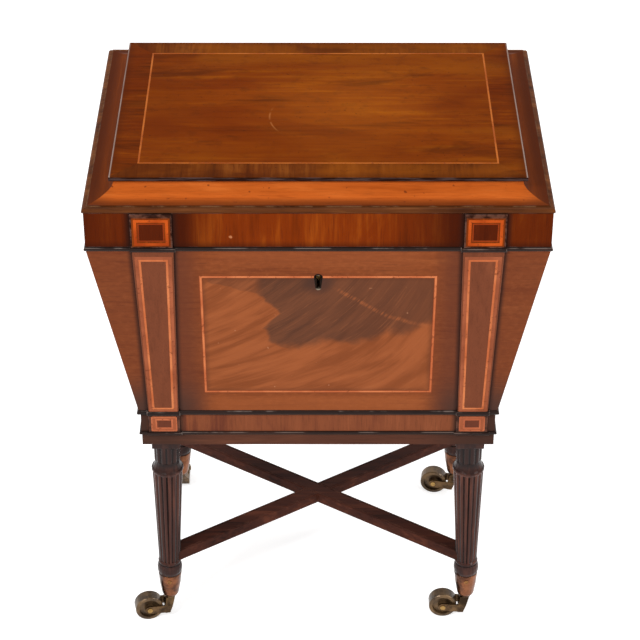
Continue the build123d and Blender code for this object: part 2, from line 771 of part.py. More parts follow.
def knuckle_span(x, index):
    pitch = HINGE_L / HINGE_KNUCKLES
    low = x - HINGE_L / 2 + index * pitch
    return low, low + pitch


def make_leaf(x, z, first):
    """A hinge leaf with every second knuckle, starting with the first or the second."""
    back_y = HINGE_Y - BARREL_R / 2
    leaf = block((x - HINGE_L / 2, x + HINGE_L / 2), (back_y - LEAF_D, back_y), z)
    for index in range(HINGE_KNUCKLES):
        low, high = knuckle_span(x, index)
        if index % 2 != first:
            leaf -= barrel((low, high), BARREL_R + KNUCKLE_GAP)
    for index in range(first, HINGE_KNUCKLES, 2):
        low, high = knuckle_span(x, index)
        leaf += barrel((low + KNUCKLE_GAP / 2, high - KNUCKLE_GAP / 2), BARREL_R)
    return leaf - barrel((x - HINGE_L, x + HINGE_L), HINGE_PIN_R + RUNNING_FIT)


def countersunk(x, y, face_z, up):
    """A screw with its head flush at face_z, driven up or down."""
    profile = [(SCREW_HEAD_R, 0), (SCREW_R, SCREW_HEAD_H), (SCREW_R, SCREW_L)]
    return Pos(x, y, face_z) * Rot(0 if up > 0 else 180, 0, 0) * turned(profile, SCREW_SIDES)


def hinge_screws(face_z, up):
    screws = []
    for x in (-HINGE_X, HINGE_X):
        for step in (-SCREW_SPACING, 0, SCREW_SPACING):
            screws.append(countersunk(x + step, SCREW_Y, face_z, up))
    return screws


def make_case_leaves():
    return [make_leaf(x, (RIM_TOP_Z - LEAF_T, RIM_TOP_Z), 0) for x in (-HINGE_X, HINGE_X)]


def make_lid_leaves():
    return [make_leaf(x, (LID_FOOT_Z, LID_FOOT_Z + LEAF_T), 1) for x in (-HINGE_X, HINGE_X)]


def make_hinge_pins():
    return [barrel((x - HINGE_L / 2, x + HINGE_L / 2), HINGE_PIN_R) for x in (-HINGE_X, HINGE_X)]


def hinge_notches():
    """Room for the barrels, cut out of the wood."""
    reach = HINGE_L / 2 + BARREL_GAP
    return [barrel((x - reach, x + reach), BARREL_R + BARREL_GAP) for x in (-HINGE_X, HINGE_X)]


# Lock. Its plane lies on the inner face of the front board: x along the board, y up the slope,
# z outwards through the board.

TAPER = math.radians(CASE_TAPER)
LOCK_ORIGIN = (0, WALL - case_d(CASE_TOP_Z), CASE_TOP_Z)
LOCK_PLANE = Plane(origin=LOCK_ORIGIN, x_dir=(1, 0, 0), z_dir=(0, -math.cos(TAPER), -math.sin(TAPER)))
BOARD_T = WALL * math.cos(TAPER)
EYE_TOP = 0.0
PRONG_MIDDLE = (LOCK_PLANE * Pos(0, EYE_TOP - BOLT_PRONG / 2, LOCK_T / 2)).position
STAPLE_Y = PRONG_MIDDLE.Y


def lock_block(x, y, z):
    return LOCK_PLANE * block(x, y, z)


def below(z):
    """Everything under a height, as a block larger than the lock."""
    reach = LOCK_W + LID_D
    return block((-reach, reach), (-reach, reach), (z - LOCK_DROP - reach, z))


def lock_body():
    return lock_block((-LOCK_W / 2, LOCK_W / 2), (-LOCK_DROP, SPARE), (0, LOCK_T)) & below(RIM_TOP_Z)


def key_shape(wall):
    """The keyhole's outline in the lock plane, grown by a wall."""
    eye = Pos(0, -KEY_DROP) * Circle(KEY_EYE_R + wall)
    slot_r = KEY_SLOT_W / 2 + wall
    slot = Pos(0, -KEY_DROP - KEY_LENGTH) * Circle(slot_r)
    if not wall:
        web = Pos(0, -KEY_DROP - KEY_LENGTH / 2) * Rectangle(2 * slot_r, KEY_LENGTH)
        return eye + web + slot
    eye_r = KEY_EYE_R + wall
    flanks = Polyline((-eye_r, -KEY_DROP), (eye_r, -KEY_DROP), (slot_r, -KEY_DROP - KEY_LENGTH),
                      (-slot_r, -KEY_DROP - KEY_LENGTH), close=True)
    return eye + make_face(flanks) + slot


def key_tool(wall, z):
    return LOCK_PLANE * (Pos(0, 0, z[0]) * extrude(key_shape(wall), z[1] - z[0]))


def make_lock_case():
    """A flat box with a slotted top plate, a keyhole and room for the bolt to slide."""
    inside_w = LOCK_W / 2 - LOCK_PLATE
    inside_z = (LOCK_PLATE, LOCK_T - LOCK_PLATE)
    cavity = lock_block((-inside_w, inside_w), (LOCK_PLATE - LOCK_DROP, SPARE), inside_z)
    case = lock_body() - (cavity & below(RIM_TOP_Z - SELVEDGE_T))
    case -= key_tool(0, (LOCK_T - LOCK_PLATE - OVERCUT, LOCK_T + OVERCUT))
    for side in (-1, 1):
        x, gap = side * STAPLE_X, STAPLE_SLOT_GAP
        case -= block((x - STAPLE_T / 2 - gap, x + STAPLE_T / 2 + gap),
                      (STAPLE_Y - STAPLE_D / 2 - gap, STAPLE_Y + STAPLE_D / 2 + gap),
                      (RIM_TOP_Z - SELVEDGE_T - OVERCUT, RIM_TOP_Z + OVERCUT))
    return case


def make_drill_pin():
    seat = Pos(0, -KEY_DROP, LOCK_PLATE)
    length = LOCK_T - LOCK_PLATE - BOLT_FIT
    return LOCK_PLANE * (seat * Pos(0, 0, length / 2) * Cylinder(DRILL_PIN_R, length))


def make_keyhole_liner():
    front = BOARD_T + LINER_PROUD
    return key_tool(LINER_WALL, (LOCK_T, front)) - key_tool(0, (LOCK_T - OVERCUT, front + OVERCUT))


def make_bolt():
    """A bar with two hooks whose prongs slide sideways through the staples' eyes."""
    z = (LOCK_PLATE + BOLT_FIT, LOCK_T - LOCK_PLATE - BOLT_FIT)
    bar_y = (-BOLT_BAR_DROP - BOLT_BAR_H, -BOLT_BAR_DROP)
    tips = [side * STAPLE_X - STAPLE_T / 2 - BOLT_PRONG_GAP for side in (-1, 1)]
    post_x = [tip - BOLT_PRONG_L - BOLT_POST_W for tip in tips]
    bolt = block((post_x[0], post_x[1] + BOLT_POST_W), bar_y, z)
    middle = LOCK_T / 2
    prong_z = (middle - BOLT_PRONG / 2, middle + BOLT_PRONG / 2)
    for tip, x in zip(tips, post_x):
        bolt += block((x, x + BOLT_POST_W), (bar_y[0], EYE_TOP), z)
        bolt += block((x, tip), (EYE_TOP - BOLT_PRONG, EYE_TOP), prong_z)
    return LOCK_PLANE * bolt


def make_link_plate():
    return block((-LINK_W / 2, LINK_W / 2), (STAPLE_Y - LINK_D / 2, STAPLE_Y + LINK_D / 2),
                 (LID_FOOT_Z, LID_FOOT_Z + LINK_T))


def make_staple(side):
    """A loop that hangs from the link plate, open round the bolt's prong."""
    x = side * STAPLE_X
    eye_half = BOLT_PRONG / 2 * (math.cos(TAPER) + math.sin(TAPER)) + BOLT_EYE_FIT
    bar = block((x - STAPLE_T / 2, x + STAPLE_T / 2),
                (STAPLE_Y - STAPLE_D / 2, STAPLE_Y + STAPLE_D / 2),
                (LID_FOOT_Z - STAPLE_DROP, LID_FOOT_Z))
    eye = block((x - STAPLE_T, x + STAPLE_T),
                (STAPLE_Y - eye_half, STAPLE_Y + eye_half),
                (PRONG_MIDDLE.Z - eye_half, LID_FOOT_Z + OVERCUT))
    return bar - eye


# Building every piece

def cut(piece, tools):
    for tool in tools:
        piece = piece - tool
    return piece


def build_case():
    nodes = {}
    rim_front, rim_left, rim_right, rim_back = make_rim()
    leaves = make_case_leaves()
    screws = hinge_screws(RIM_TOP_Z, -1)
    pocket = lock_body()
    liner_hole = key_tool(LINER_WALL, (LOCK_T - OVERCUT, BOARD_T + OVERCUT))
    nodes["front_board"] = cut(case_wall_board(0, -1), [pocket, liner_hole])
    nodes["back_board"] = cut(case_wall_board(0, 1), screws)
    nodes["left_board"] = case_wall_board(-1, 0)
    nodes["right_board"] = case_wall_board(1, 0)
    nodes["bottom_board"] = well(CASE_FOOT_Z, LINING_FOOT_Z, 0)
    nodes["pilaster_left"] = make_pilaster(-1)
    nodes["pilaster_right"] = make_pilaster(1)
    rim_back = cut(rim_back, leaves + hinge_notches() + screws)
    nodes["rim_moulding"] = group([rim_front - pocket, rim_left, rim_right, rim_back])
    nodes["waist_moulding"] = group(make_waist())
    nodes["lining"] = make_lining()
    longs, crosses = make_divisions()
    nodes["divisions_long"] = group(longs)
    nodes["divisions_cross"] = group(crosses)
    nodes["hinge_leaves_case"] = group([cut(leaf, screws) for leaf in leaves])
    nodes["hinge_pins"] = group(make_hinge_pins())
    nodes["hinge_screws_case"] = group(screws)
    nodes["lock_case"] = make_lock_case()
    nodes["lock_drill_pin"] = make_drill_pin()
    nodes["keyhole_liner"] = make_keyhole_liner()
    nodes["lock_bolt"] = make_bolt()
    return nodes


def build_stand():
    nodes = {}
    front, back, left, right = frame_bars(APRON_HALF_W, APRON_HALF_D, APRON_T, (APRON_FOOT_Z, APRON_TOP_Z))
    nodes["apron_front"] = front
    nodes["apron_back"] = back
    nodes["apron_left"] = left
    nodes["apron_right"] = right
    nodes["apron_tablets"] = group(make_apron_tablets())
    nodes["stand_moulding"] = group(make_stand_moulding())
    rails = frame_bars(RAIL_HALF_W, RAIL_HALF_D, RAIL_W, (LEG_H, RAIL_TOP_Z))
    bar_a, bar_b = make_bars()
    bars_at = {"front_left": bar_a, "back_right": bar_a, "front_right": bar_b, "back_left": bar_b}
    for sides in LEG_SIDES.values():
        socket = place_on_leg(tenon_block(LEG_H - ABACUS_TRIM), *sides)
        rails = [rail - socket for rail in rails]
    leg_blank, cup_blank = make_leg_blank(), make_cup_blank()
    cup_screws = []
    for name, (side_x, side_y) in LEG_SIDES.items():
        screw = place_on_leg(make_cup_screw(side_y), side_x, side_y)
        bore_z = (0, STEM_TOP_Z + STEM_END_GAP)
        bore = place_on_caster(post(0, 0, bore_z, STEM_R + RUNNING_FIT), name)
        leg = cut(place_on_leg(leg_blank, side_x, side_y), [screw, bore, bars_at[name], *rails])
        nodes["leg_" + name] = leg
        nodes["caster_cup_" + name] = cut(place_on_leg(cup_blank, side_x, side_y), [screw, bore])
        cup_screws.append(screw)
    nodes["base_rails"] = group(rails)
    nodes["cup_screws"] = group(cup_screws)
    nodes["stretcher_bar_under"] = bar_a
    nodes["stretcher_bar_over"] = bar_b
    return nodes


def build_casters():
    nodes = {}
    fork, axle, wheel = make_fork(), make_axle(), make_wheel()
    for name in LEG_SIDES:
        nodes["caster_fork_" + name] = place_on_caster(fork, name)
        nodes["caster_axle_" + name] = place_on_caster(axle, name)
        nodes["caster_wheel_" + name] = place_on_caster(wheel, name)
    return nodes


def build_lid():
    nodes = {}
    leaves = make_lid_leaves()
    screws = hinge_screws(LID_FOOT_Z, 1)
    link_screws = [countersunk(side * LINK_SCREW_X, STAPLE_Y, LID_FOOT_Z, 1) for side in (-1, 1)]
    link_plate = make_link_plate()
    front, back, left, right = make_lid_friezes()
    nodes["lid_panel"] = make_panel()
    nodes["lid_cove"] = group(ring(cove_face, half_w(0), half_d(0)))
    nodes["lid_edge_moulding"] = group(make_lid_edge())
    nodes["lid_frieze_front"] = cut(front, [link_plate] + link_screws)
    nodes["lid_frieze_back"] = cut(back, leaves + hinge_notches() + screws)
    nodes["lid_frieze_left"] = left
    nodes["lid_frieze_right"] = right
    nodes["lid_tablets"] = group(make_lid_tablets())
    nodes["hinge_leaves_lid"] = group([cut(leaf, screws) for leaf in leaves])
    nodes["screws_lid"] = group(screws + link_screws)
    nodes["lock_link_plate"] = group([cut(link_plate, link_screws), make_staple(-1), make_staple(1)])
    return nodes


os.makedirs("parts", exist_ok=True)
for node, shape in {**build_case(), **build_stand(), **build_casters(), **build_lid()}.items():
    export_step(shape, "parts/" + node + ".step")
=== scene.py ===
import math
from functools import cached_property, reduce

import bmesh
import bpy
from mathutils import Matrix, Vector


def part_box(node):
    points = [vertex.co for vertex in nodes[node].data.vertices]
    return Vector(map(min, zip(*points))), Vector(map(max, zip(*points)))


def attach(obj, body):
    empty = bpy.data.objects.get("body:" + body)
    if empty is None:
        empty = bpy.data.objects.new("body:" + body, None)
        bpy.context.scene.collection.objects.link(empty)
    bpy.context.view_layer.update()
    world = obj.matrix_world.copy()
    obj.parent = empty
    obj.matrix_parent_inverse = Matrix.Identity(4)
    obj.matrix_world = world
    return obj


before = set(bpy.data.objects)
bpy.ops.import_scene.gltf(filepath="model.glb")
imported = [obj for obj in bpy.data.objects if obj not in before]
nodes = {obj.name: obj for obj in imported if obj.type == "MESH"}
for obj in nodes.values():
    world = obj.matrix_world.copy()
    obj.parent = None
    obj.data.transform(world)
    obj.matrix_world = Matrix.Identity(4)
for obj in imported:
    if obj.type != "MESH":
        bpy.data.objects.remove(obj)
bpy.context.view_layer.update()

# Sizes are in metres. Those of the solids are read from the frame where it gives them.
MM = 0.001
LEGS = ("front_left", "front_right", "back_left", "back_right")

panel_low, panel_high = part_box("lid_panel")
cove_low, cove_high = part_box("lid_cove")
frieze_low, frieze_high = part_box("lid_frieze_front")
board_low, board_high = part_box("front_board")
pilaster_low, pilaster_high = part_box("pilaster_right")

# The front of the case leans by TAPER, and a pilaster narrows by PILASTER_TAPER of its height at each side
TAPER = math.radians(10.1)
PILASTER_X = (pilaster_low.x + pilaster_high.x) / 2
PILASTER_HALF_W = (pilaster_high.x - pilaster_low.x) / 2
PILASTER_TAPER = 5.2 * MM / (pilaster_high.z - pilaster_low.z)

# The figured panel of the front, and the keyhole that breaks the line round it
PANEL_HALF_W = 132.0 * MM
PANEL_TOP_Z = 545.2 * MM
PANEL_FOOT_Z = 365.5 * MM
PANEL_MID_Z = (PANEL_TOP_Z + PANEL_FOOT_Z) / 2
KEY_Z = 538.0 * MM
KEY_GAP = 5.0 * MM

# A line of inlay: how far it stands out of the wood and reaches into it, and its distance from the lid's edge
STRING_PROUD = 0.12 * MM
STRING_SINK = 0.3 * MM
STRING_INSET = 31.1 * MM

# A leg: its middle at the top, its lean, how many reeds and lobes it has, and the heights over which the foot
# ring, the reeds, the collar, the neck and the lobes fade in or out
LEG_X, LEG_Y, LEG_TOP_Z = 182.914 * MM, 126.514 * MM, 282.0 * MM
LEG_SPLAY = math.radians(1.0)
REEDS, LOBES = 16, 12
RING_ENDS = (88 * MM, 91 * MM)
REEDS_BEGIN, REEDS_END = (88 * MM, 93 * MM), (228 * MM, 232 * MM)
COLLAR_BEGINS = (231 * MM, 236 * MM)
NECK_BEGINS = (240 * MM, 246 * MM)
LOBES_BEGIN, LOBES_END = (246 * MM, 250 * MM), (269 * MM, 273 * MM)

# Faults and lights of the finish: an arc scratched in the lid, a chip in the frieze, and the lid's paler middle
SCRATCH_X, SCRATCH_Y, SCRATCH_RADIUS = 10 * MM, -26 * MM, 66 * MM
CHIP_X, CHIP_Z = -97 * MM, 602 * MM
LID_GLOW_X = 30 * MM

# Depths of the fine relief in the shading
PORE_DEPTH = 0.03 * MM
STRING_DEPTH = 0.02 * MM
RUB_DEPTH = 0.015 * MM
SHEET_DEPTH = 0.1 * MM

# Colours are given as they look under plain light (sRGB, 0 to 255)
INK = (24, 17, 15)
WORN_AND_SHEEN = (126, 104, 102)
WORN_BROWN = (94, 58, 44)

# The studio. A lamp has a name, a place, the width of its disk and its power.
WHITE = (1, 1, 1, 1)
FLOOR_GREY = (0.8, 0.8, 0.8, 1)
FLOOR_HALF_W = 12
FLOOR_GLOW = 0.62
ROOM_STRENGTH = 0.55
LAMP_TARGET = (0, 0, 0.4)
LAMPS = (("key", (-1.6, -2.2, 2.6), 0.8, 62),
         ("fill", (2.2, -1.6, 1.6), 0.8, 26),
         ("top", (0.2, 0.6, 3.0), 1.6, 22))

# The photograph's viewpoint, found by fitting the object's straight edges
CAMERA_PLACE = (-2.74 * MM, -2270.63 * MM, 1862.89 * MM)
CAMERA_HEADING, CAMERA_ROLL = -0.00228, 0.00139
CAMERA_PITCH = math.radians(90 - 33.42)
CAMERA_LENS, CAMERA_SENSOR = 123.775, 36


def linear(colour):
    """Shader value of a colour given as it looks."""
    shares = (v / 255 for v in colour)
    return (*(v / 12.92 if v <= 0.04045 else ((v + 0.055) / 1.055) ** 2.4 for v in shares), 1.0)


# Shader trees

class Tree:
    """The nodes of a material or world, with short calls to add and link them."""

    def __init__(self, owner):
        self.owner = owner
        owner.use_nodes = True
        self.tree = owner.node_tree
        self.tree.nodes.clear()

    @cached_property
    def place(self):
        """Coordinates on the object, in metres."""
        return self.add("ShaderNodeTexCoord").outputs["Object"]

    def add(self, kind, inputs=None, **settings):
        node = self.tree.nodes.new(kind)
        for key, value in settings.items():
            setattr(node, key, value)
        for key, value in (inputs or {}).items():
            self.put(node.inputs[key], value)
        return node

    def put(self, socket, value):
        if isinstance(value, bpy.types.NodeSocket):
            self.tree.links.new(value, socket)
        else:
            socket.default_value = value

    # sums

    def math(self, operation, a, b=0.0, clamp=False):
        return self.add("ShaderNodeMath", {0: a, 1: b}, operation=operation, use_clamp=clamp).outputs[0]

    def plus(self, a, b):
        return self.math("ADD", a, b)

    def minus(self, a, b):
        return self.math("SUBTRACT", a, b)

    def product(self, *values):
        return reduce(lambda a, b: self.math("MULTIPLY", a, b), values)

    def scaled(self, value, factor, offset):
        return self.add("ShaderNodeMath", {0: value, 1: factor, 2: offset}, operation="MULTIPLY_ADD").outputs[0]

    def size(self, value):
        return self.math("ABSOLUTE", value)

    def least(self, a, b):
        return self.math("MINIMUM", a, b)

    def most(self, a, b):
        return self.math("MAXIMUM", a, b)

    def reach(self, a, b):
        """Length of the way with runs a and b, square to each other."""
        return self.math("SQRT", self.plus(self.math("POWER", a, 2.0), self.math("POWER", b, 2.0)))

    # masks, from 0 to 1

    def below(self, value, limit):
        return self.math("LESS_THAN", value, limit)

    def above(self, value, limit):
        return self.math("GREATER_THAN", value, limit)

    def between(self, value, low, high):
        return self.product(self.above(value, low), self.below(value, high))

    def beside(self, value, ends, width):
        """1 where a value meets one of the ends, 0 beyond a width from all of them."""
        off = [self.size(self.minus(value, end)) for end in ends]
        return self.ramp(reduce(self.least, off), 0.8 * MM, width, 1.0, 0.0)

    def ramp(self, value, low, high, to_low=0.0, to_high=1.0):
        """Maps low..high smoothly to to_low..to_high."""
        node = self.add("ShaderNodeMapRange", interpolation_type="SMOOTHSTEP")
        for key, item in zip(("Value", "From Min", "From Max", "To Min", "To Max"),
                             (value, low, high, to_low, to_high)):
            self.put(node.inputs[key], item)
        return node.outputs["Result"]

    def curve(self, value, points):
        """A value from 0 to 1 read off straight runs through points, each from 0 to 1."""
        node = self.add("ShaderNodeFloatCurve", {"Value": value})
        line = node.mapping.curves[0]
        line.points[0].location = points[0]
        line.points[1].location = points[-1]
        for point in points[1:-1]:
            line.points.new(*point)
        for point in line.points:
            point.handle_type = "VECTOR"
        node.mapping.update()
        return node.outputs["Value"]

    def edge_mask(self, radius):
        """How sharply the surface turns within a radius: 0 on a flat, towards 1 at an edge."""
        soft = self.add("ShaderNodeBevel", {"Radius": radius}, samples=6).outputs[0]
        sharp = self.add("ShaderNodeNewGeometry").outputs["Normal"]
        same = self.add("ShaderNodeVectorMath", {0: soft, 1: sharp}, operation="DOT_PRODUCT").outputs["Value"]
        return self.math("SUBTRACT", 1.0, same, clamp=True)

    def crevice_mask(self, distance):
        """1 deep in a corner, 0 in the open."""
        open_air = self.add("ShaderNodeAmbientOcclusion", {"Distance": distance}, samples=6).outputs["AO"]
        return self.ramp(open_air, 0.25, 0.8, 1.0, 0.0)

    def seen(self):
        """1 for what the camera sees, straight, reflected or through glass."""
        paths = self.add("ShaderNodeLightPath").outputs
        return self.most(paths["Is Camera Ray"], self.most(paths["Is Glossy Ray"], paths["Is Transmission Ray"]))

    # vectors and patterns

    def xyz(self, vector=None):
        return self.add("ShaderNodeSeparateXYZ", {0: vector or self.place}).outputs

    def normal(self):
        """X, Y and Z of the way the surface faces."""
        return self.xyz(self.add("ShaderNodeTexCoord").outputs["Normal"])

    def vector(self, x=0.0, y=0.0, z=0.0):
        return self.add("ShaderNodeCombineXYZ", {0: x, 1: y, 2: z}).outputs[0]

    def moved(self, scale, turn=(0, 0, 0), shift=(0, 0, 0)):
        """Coordinates scaled after a turn; a small scale along an axis stretches the pattern that way."""
        turned = self.add("ShaderNodeMapping", {"Vector": self.place, "Rotation": turn, "Location": shift})
        return self.add("ShaderNodeMapping", {"Vector": turned.outputs[0], "Scale": scale}).outputs[0]

    def noise(self, vector, scale=1.0, detail=3.0, rough=0.55, distort=0.0):
        return self.add("ShaderNodeTexNoise", {"Vector": vector, "Scale": scale, "Detail": detail,
                                               "Roughness": rough, "Distortion": distort}).outputs["Fac"]

    # colours

    def mix(self, factor, a, b, blend="MIX"):
        """From a to b, each a colour or a socket. Sockets 6, 7 and 2 are the mix node's own for colours."""
        node = self.add("ShaderNodeMix", data_type="RGBA", blend_type=blend)
        self.put(node.inputs["Factor"], factor)
        for key, value in ((6, a), (7, b)):
            self.put(node.inputs[key], linear(value) if isinstance(value, tuple) else value)
        return node.outputs[2]

    def coats(self, base, *coats):
        """A colour with others laid over it in turn, each where its mask says."""
        for mask, colour in coats:
            base = self.mix(mask, base, colour)
        return base

    def finish(self, base, roughness, height, depth, soften=0.0, **sockets):
        """The shader itself. soften is the radius by which the edges between flat sides look rounded."""
        shader = self.add("ShaderNodeBsdfPrincipled", {"Base Color": base, "Roughness": roughness})
        for key, value in sockets.items():
            self.put(shader.inputs[key.replace("_", " ")], value)
        bump = self.add("ShaderNodeBump", {"Height": height, "Strength": 1.0, "Distance": depth})
        if soften:
            rounded = self.add("ShaderNodeBevel", {"Radius": soften}, samples=6)
            self.put(bump.inputs["Normal"], rounded.outputs[0])
        self.put(shader.inputs["Normal"], bump.outputs[0])
        self.add("ShaderNodeOutputMaterial", {"Surface": shader.outputs[0]})
        return self.owner


def paint(name):
    """The empty tree of a new material."""
    return Tree(bpy.data.materials.new(name))


# Wood in general

GRAIN_TURN = {"X": (0, 0, 0), "Y": (0, 0, -math.pi / 2), "Z": (0, math.pi / 2, 0)}
CASE_POLISH = dict(gloss=0.34, grime=0.9, wear=0.4, reach=16 * MM, shine=0.045)
INSIDE_POLISH = dict(gloss=0.5, grime=0.5, wear=0.3, shine=0.1)


def grain(t, dark, middle, light, along="X", size=1.0, contrast=1.0, shift=(0, 0, 0)):
    """Mahogany colour with broad figure, streaks and fine pores along an axis. Returns colour and pores."""

    def pattern(length, width, detail, rough, distort=0.0):
        stretch = (length * size, width * size, width * size)
        return t.noise(t.moved(stretch, GRAIN_TURN[along], shift), 1.0, detail, rough, distort)

    broad = pattern(5, 22, 4.0, 0.6, 0.9)
    streak = pattern(9, 190, 3.0, 0.6, 0.4)
    pores = pattern(45, 1500, 2.0, 0.5)
    wave = t.plus(t.product(broad, 0.62), t.product(streak, 0.38))
    spread = 0.16 / contrast
    base = t.coats(t.mix(t.ramp(wave, 0.5 - spread, 0.5), dark, middle),
                   (t.ramp(wave, 0.5, 0.5 + spread), light),
                   (t.product(t.ramp(pores, 0.56, 0.7), 0.32), INK))
    return base, pores


def polished(t, base, pores, gloss=0.3, grime=0.75, wear=0.5, edge=0.9 * MM, reach=7 * MM, shine=0.12, worn=WORN_AND_SHEEN,
             soften=0.0):
    """Old french polish over a wood: dirt and painted shade in corners, edges rubbed pale with wear and a painted
    sheen, soft uneven gloss.

    Dirt and painted shade come out of a corner as far as reach, and edges are rubbed and painted with a sheen, in
    the given pale colour, within the distance edge.
    """
    # dark of dirt and painted shade in the corners, and pale edges of wear and painted sheen
    corner = t.product(t.crevice_mask(reach), grime)
    rubbed_and_sheen = t.product(t.ramp(t.edge_mask(edge), 0.02, 0.22),
                       t.ramp(t.noise(t.place, 60.0, 3.0, 0.65), 0.42, 0.62))
    base = t.coats(base, (corner, INK), (t.product(rubbed_and_sheen, wear), worn))
    cloud = t.noise(t.place, 14.0, 3.0, 0.6)
    roughness = t.plus(t.ramp(cloud, 0.3, 0.7, gloss - 0.05, gloss + 0.1), t.product(corner, 0.3))
    return t.finish(base, roughness, pores, PORE_DEPTH, soften, Specular_IOR_Level=shine)


def wood(name, dark, middle, light, along="X", size=1.0, contrast=1.0, **polish):
    """A plain piece: one grain under one polish."""
    t = paint(name)
    return polished(t, *grain(t, dark, middle, light, along, size, contrast), **polish)


# The lid

def crossbanded_top():
    """The lid panel: grain along X inside the string, and square to each edge in the mitred border."""
    t = paint("mahogany_lid_top")
    x, y, z = t.xyz()
    to_side = t.minus(panel_high.x, t.size(x))
    to_end = t.minus(panel_high.y, t.size(y))
    to_edge = t.least(to_side, to_end)
    border = t.below(to_edge, STRING_INSET)
    front_or_back = t.product(border, t.below(to_end, to_side))
    field, pores = grain(t, (86, 34, 2), (122, 53, 4), (146, 74, 7), "X", 0.62, 0.85)
    side = grain(t, (72, 28, 2), (108, 44, 3), (134, 63, 6), "X", 1.2, 1.2, (0.3, 0.2, 0.1))[0]
    across = grain(t, (60, 28, 6), (101, 49, 12), (134, 73, 24), "Y", 0.9, 1.3)[0]
    cloud = t.noise(t.moved((3.4, 6.5, 1)), 1.0, 3.0, 0.55, 0.6)
    dull = t.noise(t.moved((60, 90, 1)), 1.0, 3.0, 0.7)
    stain = t.noise(t.moved((9, 26, 1), shift=(0.4, 0.7, 0)), 1.0, 4.0, 0.6, 0.5)
    specks = t.ramp(t.noise(t.place, 230.0, 1.0, 0.4), 0.745, 0.775)
    from_glow = t.reach(t.minus(x, LID_GLOW_X), y)
    base = t.coats(
        t.mix(front_or_back, t.mix(border, field, side), across),
        # broad clouds of golden and red-brown, as old polish shows in a raking light
        (t.ramp(cloud, 0.5, 0.66, 0.0, 0.6), (146, 76, 10)),
        (t.ramp(cloud, 0.36, 0.48, 0.55, 0.0), (96, 32, 2)),
        (t.ramp(dull, 0.5, 0.7, 0.0, 0.3), (76, 34, 6)),
        (t.ramp(stain, 0.54, 0.7, 0.0, 0.6), (68, 27, 3)),
        # darker towards the edge, paler in the middle
        (t.ramp(to_edge, 0.0, 13 * MM, 0.5, 0.0), (56, 24, 6)),
        (t.ramp(to_edge, 40 * MM, 150 * MM, 0.34, 0.0), (84, 32, 4)),
        (t.ramp(from_glow, 20 * MM, 140 * MM, 0.16, 0.0), (164, 92, 30)),
        (t.product(specks, 0.5), (60, 26, 12)),
        (t.product(scratch(t, x, y), 0.3), (190, 122, 66)))
    # the sides of the panel are dark with long rubbed lines, partly wear and partly a painted sheen, and its
    # underside is plain
    rubbed_and_sheen = t.ramp(t.noise(t.moved((30, 30, 400)), 1.0, 3.0, 0.6), 0.44, 0.6)
    edge = t.mix(t.product(rubbed_and_sheen, t.ramp(t.below(to_side, to_end), 0.0, 1.0, 0.25, 0.85)), (38, 20, 16), WORN_AND_SHEEN)
    underside = grain(t, (70, 34, 18), (96, 48, 25), (120, 66, 36), "X", 0.7, 0.8)[0]
    under = t.below(z, panel_high.z - 0.8 * MM)
    base = t.mix(under, base, t.mix(t.above(to_edge, 1.0 * MM), edge, underside))
    # a painted sheen along the top's side edges
    arris_sheen = t.product(t.ramp(to_side, 1.0 * MM, 2.3 * MM, 0.85, 0.0), t.ramp(cloud, 0.3, 0.5, 0.55, 1.0),
                      t.minus(1.0, under))
    base = t.mix(arris_sheen, base, (150, 130, 120))
    return polished(t, base, pores, gloss=0.3, wear=0.9, grime=0.85, shine=0.006)


def scratch(t, x, y):
    """A long faint scratch on the lid, part of a wide arc."""
    from_x, from_y = t.minus(x, SCRATCH_X), t.minus(y, SCRATCH_Y)
    off = t.size(t.minus(t.reach(from_x, from_y), SCRATCH_RADIUS))
    line = t.ramp(off, 0.2 * MM, 1.6 * MM, 1.0, 0.0)
    broken = t.ramp(t.noise(t.place, 90.0, 3.0, 0.6), 0.4, 0.6)
    part = t.product(t.ramp(from_y, -44 * MM, -22 * MM), t.ramp(from_y, 8 * MM, 26 * MM, 1.0, 0.0),
                     t.below(from_x, 0.0))
    return t.product(line, broken, part)


def cove_wood():
    """The hollow moulding: its front in a bright copy of the wood as if lit, its sides in a dark copy as if in
    shade, darker towards the ends and along its foot.
    """
    t = paint("mahogany_cove")
    # painted light and shade: the front in a bright copy of the wood, the sides in a dark one
    front, pores = grain(t, (150, 64, 16), (184, 88, 30), (204, 106, 42), "X", 1.0, 0.9)
    sides = grain(t, (76, 30, 3), (102, 42, 5), (130, 60, 10), "Y")[0]
    x, y, z = t.xyz()
    to_side = t.minus(cove_high.x, t.size(x))
    on_front = t.below(t.minus(y, cove_low.y), to_side)
    pits = t.ramp(t.noise(t.place, 210.0, 1.0, 0.4), 0.74, 0.77)
    base = t.coats(t.mix(on_front, sides, front),
                   (t.ramp(to_side, 4 * MM, 34 * MM, 0.5, 0.0), (96, 44, 18)),
                   (t.ramp(z, cove_low.z + 0.4 * MM, cove_low.z + 3.5 * MM, 0.8, 0.0), (70, 30, 14)),
                   (t.product(pits, 0.7), (96, 40, 18)))
    return polished(t, base, pores, gloss=0.32, grime=0.85, wear=0.3, reach=6 * MM, shine=0.008)


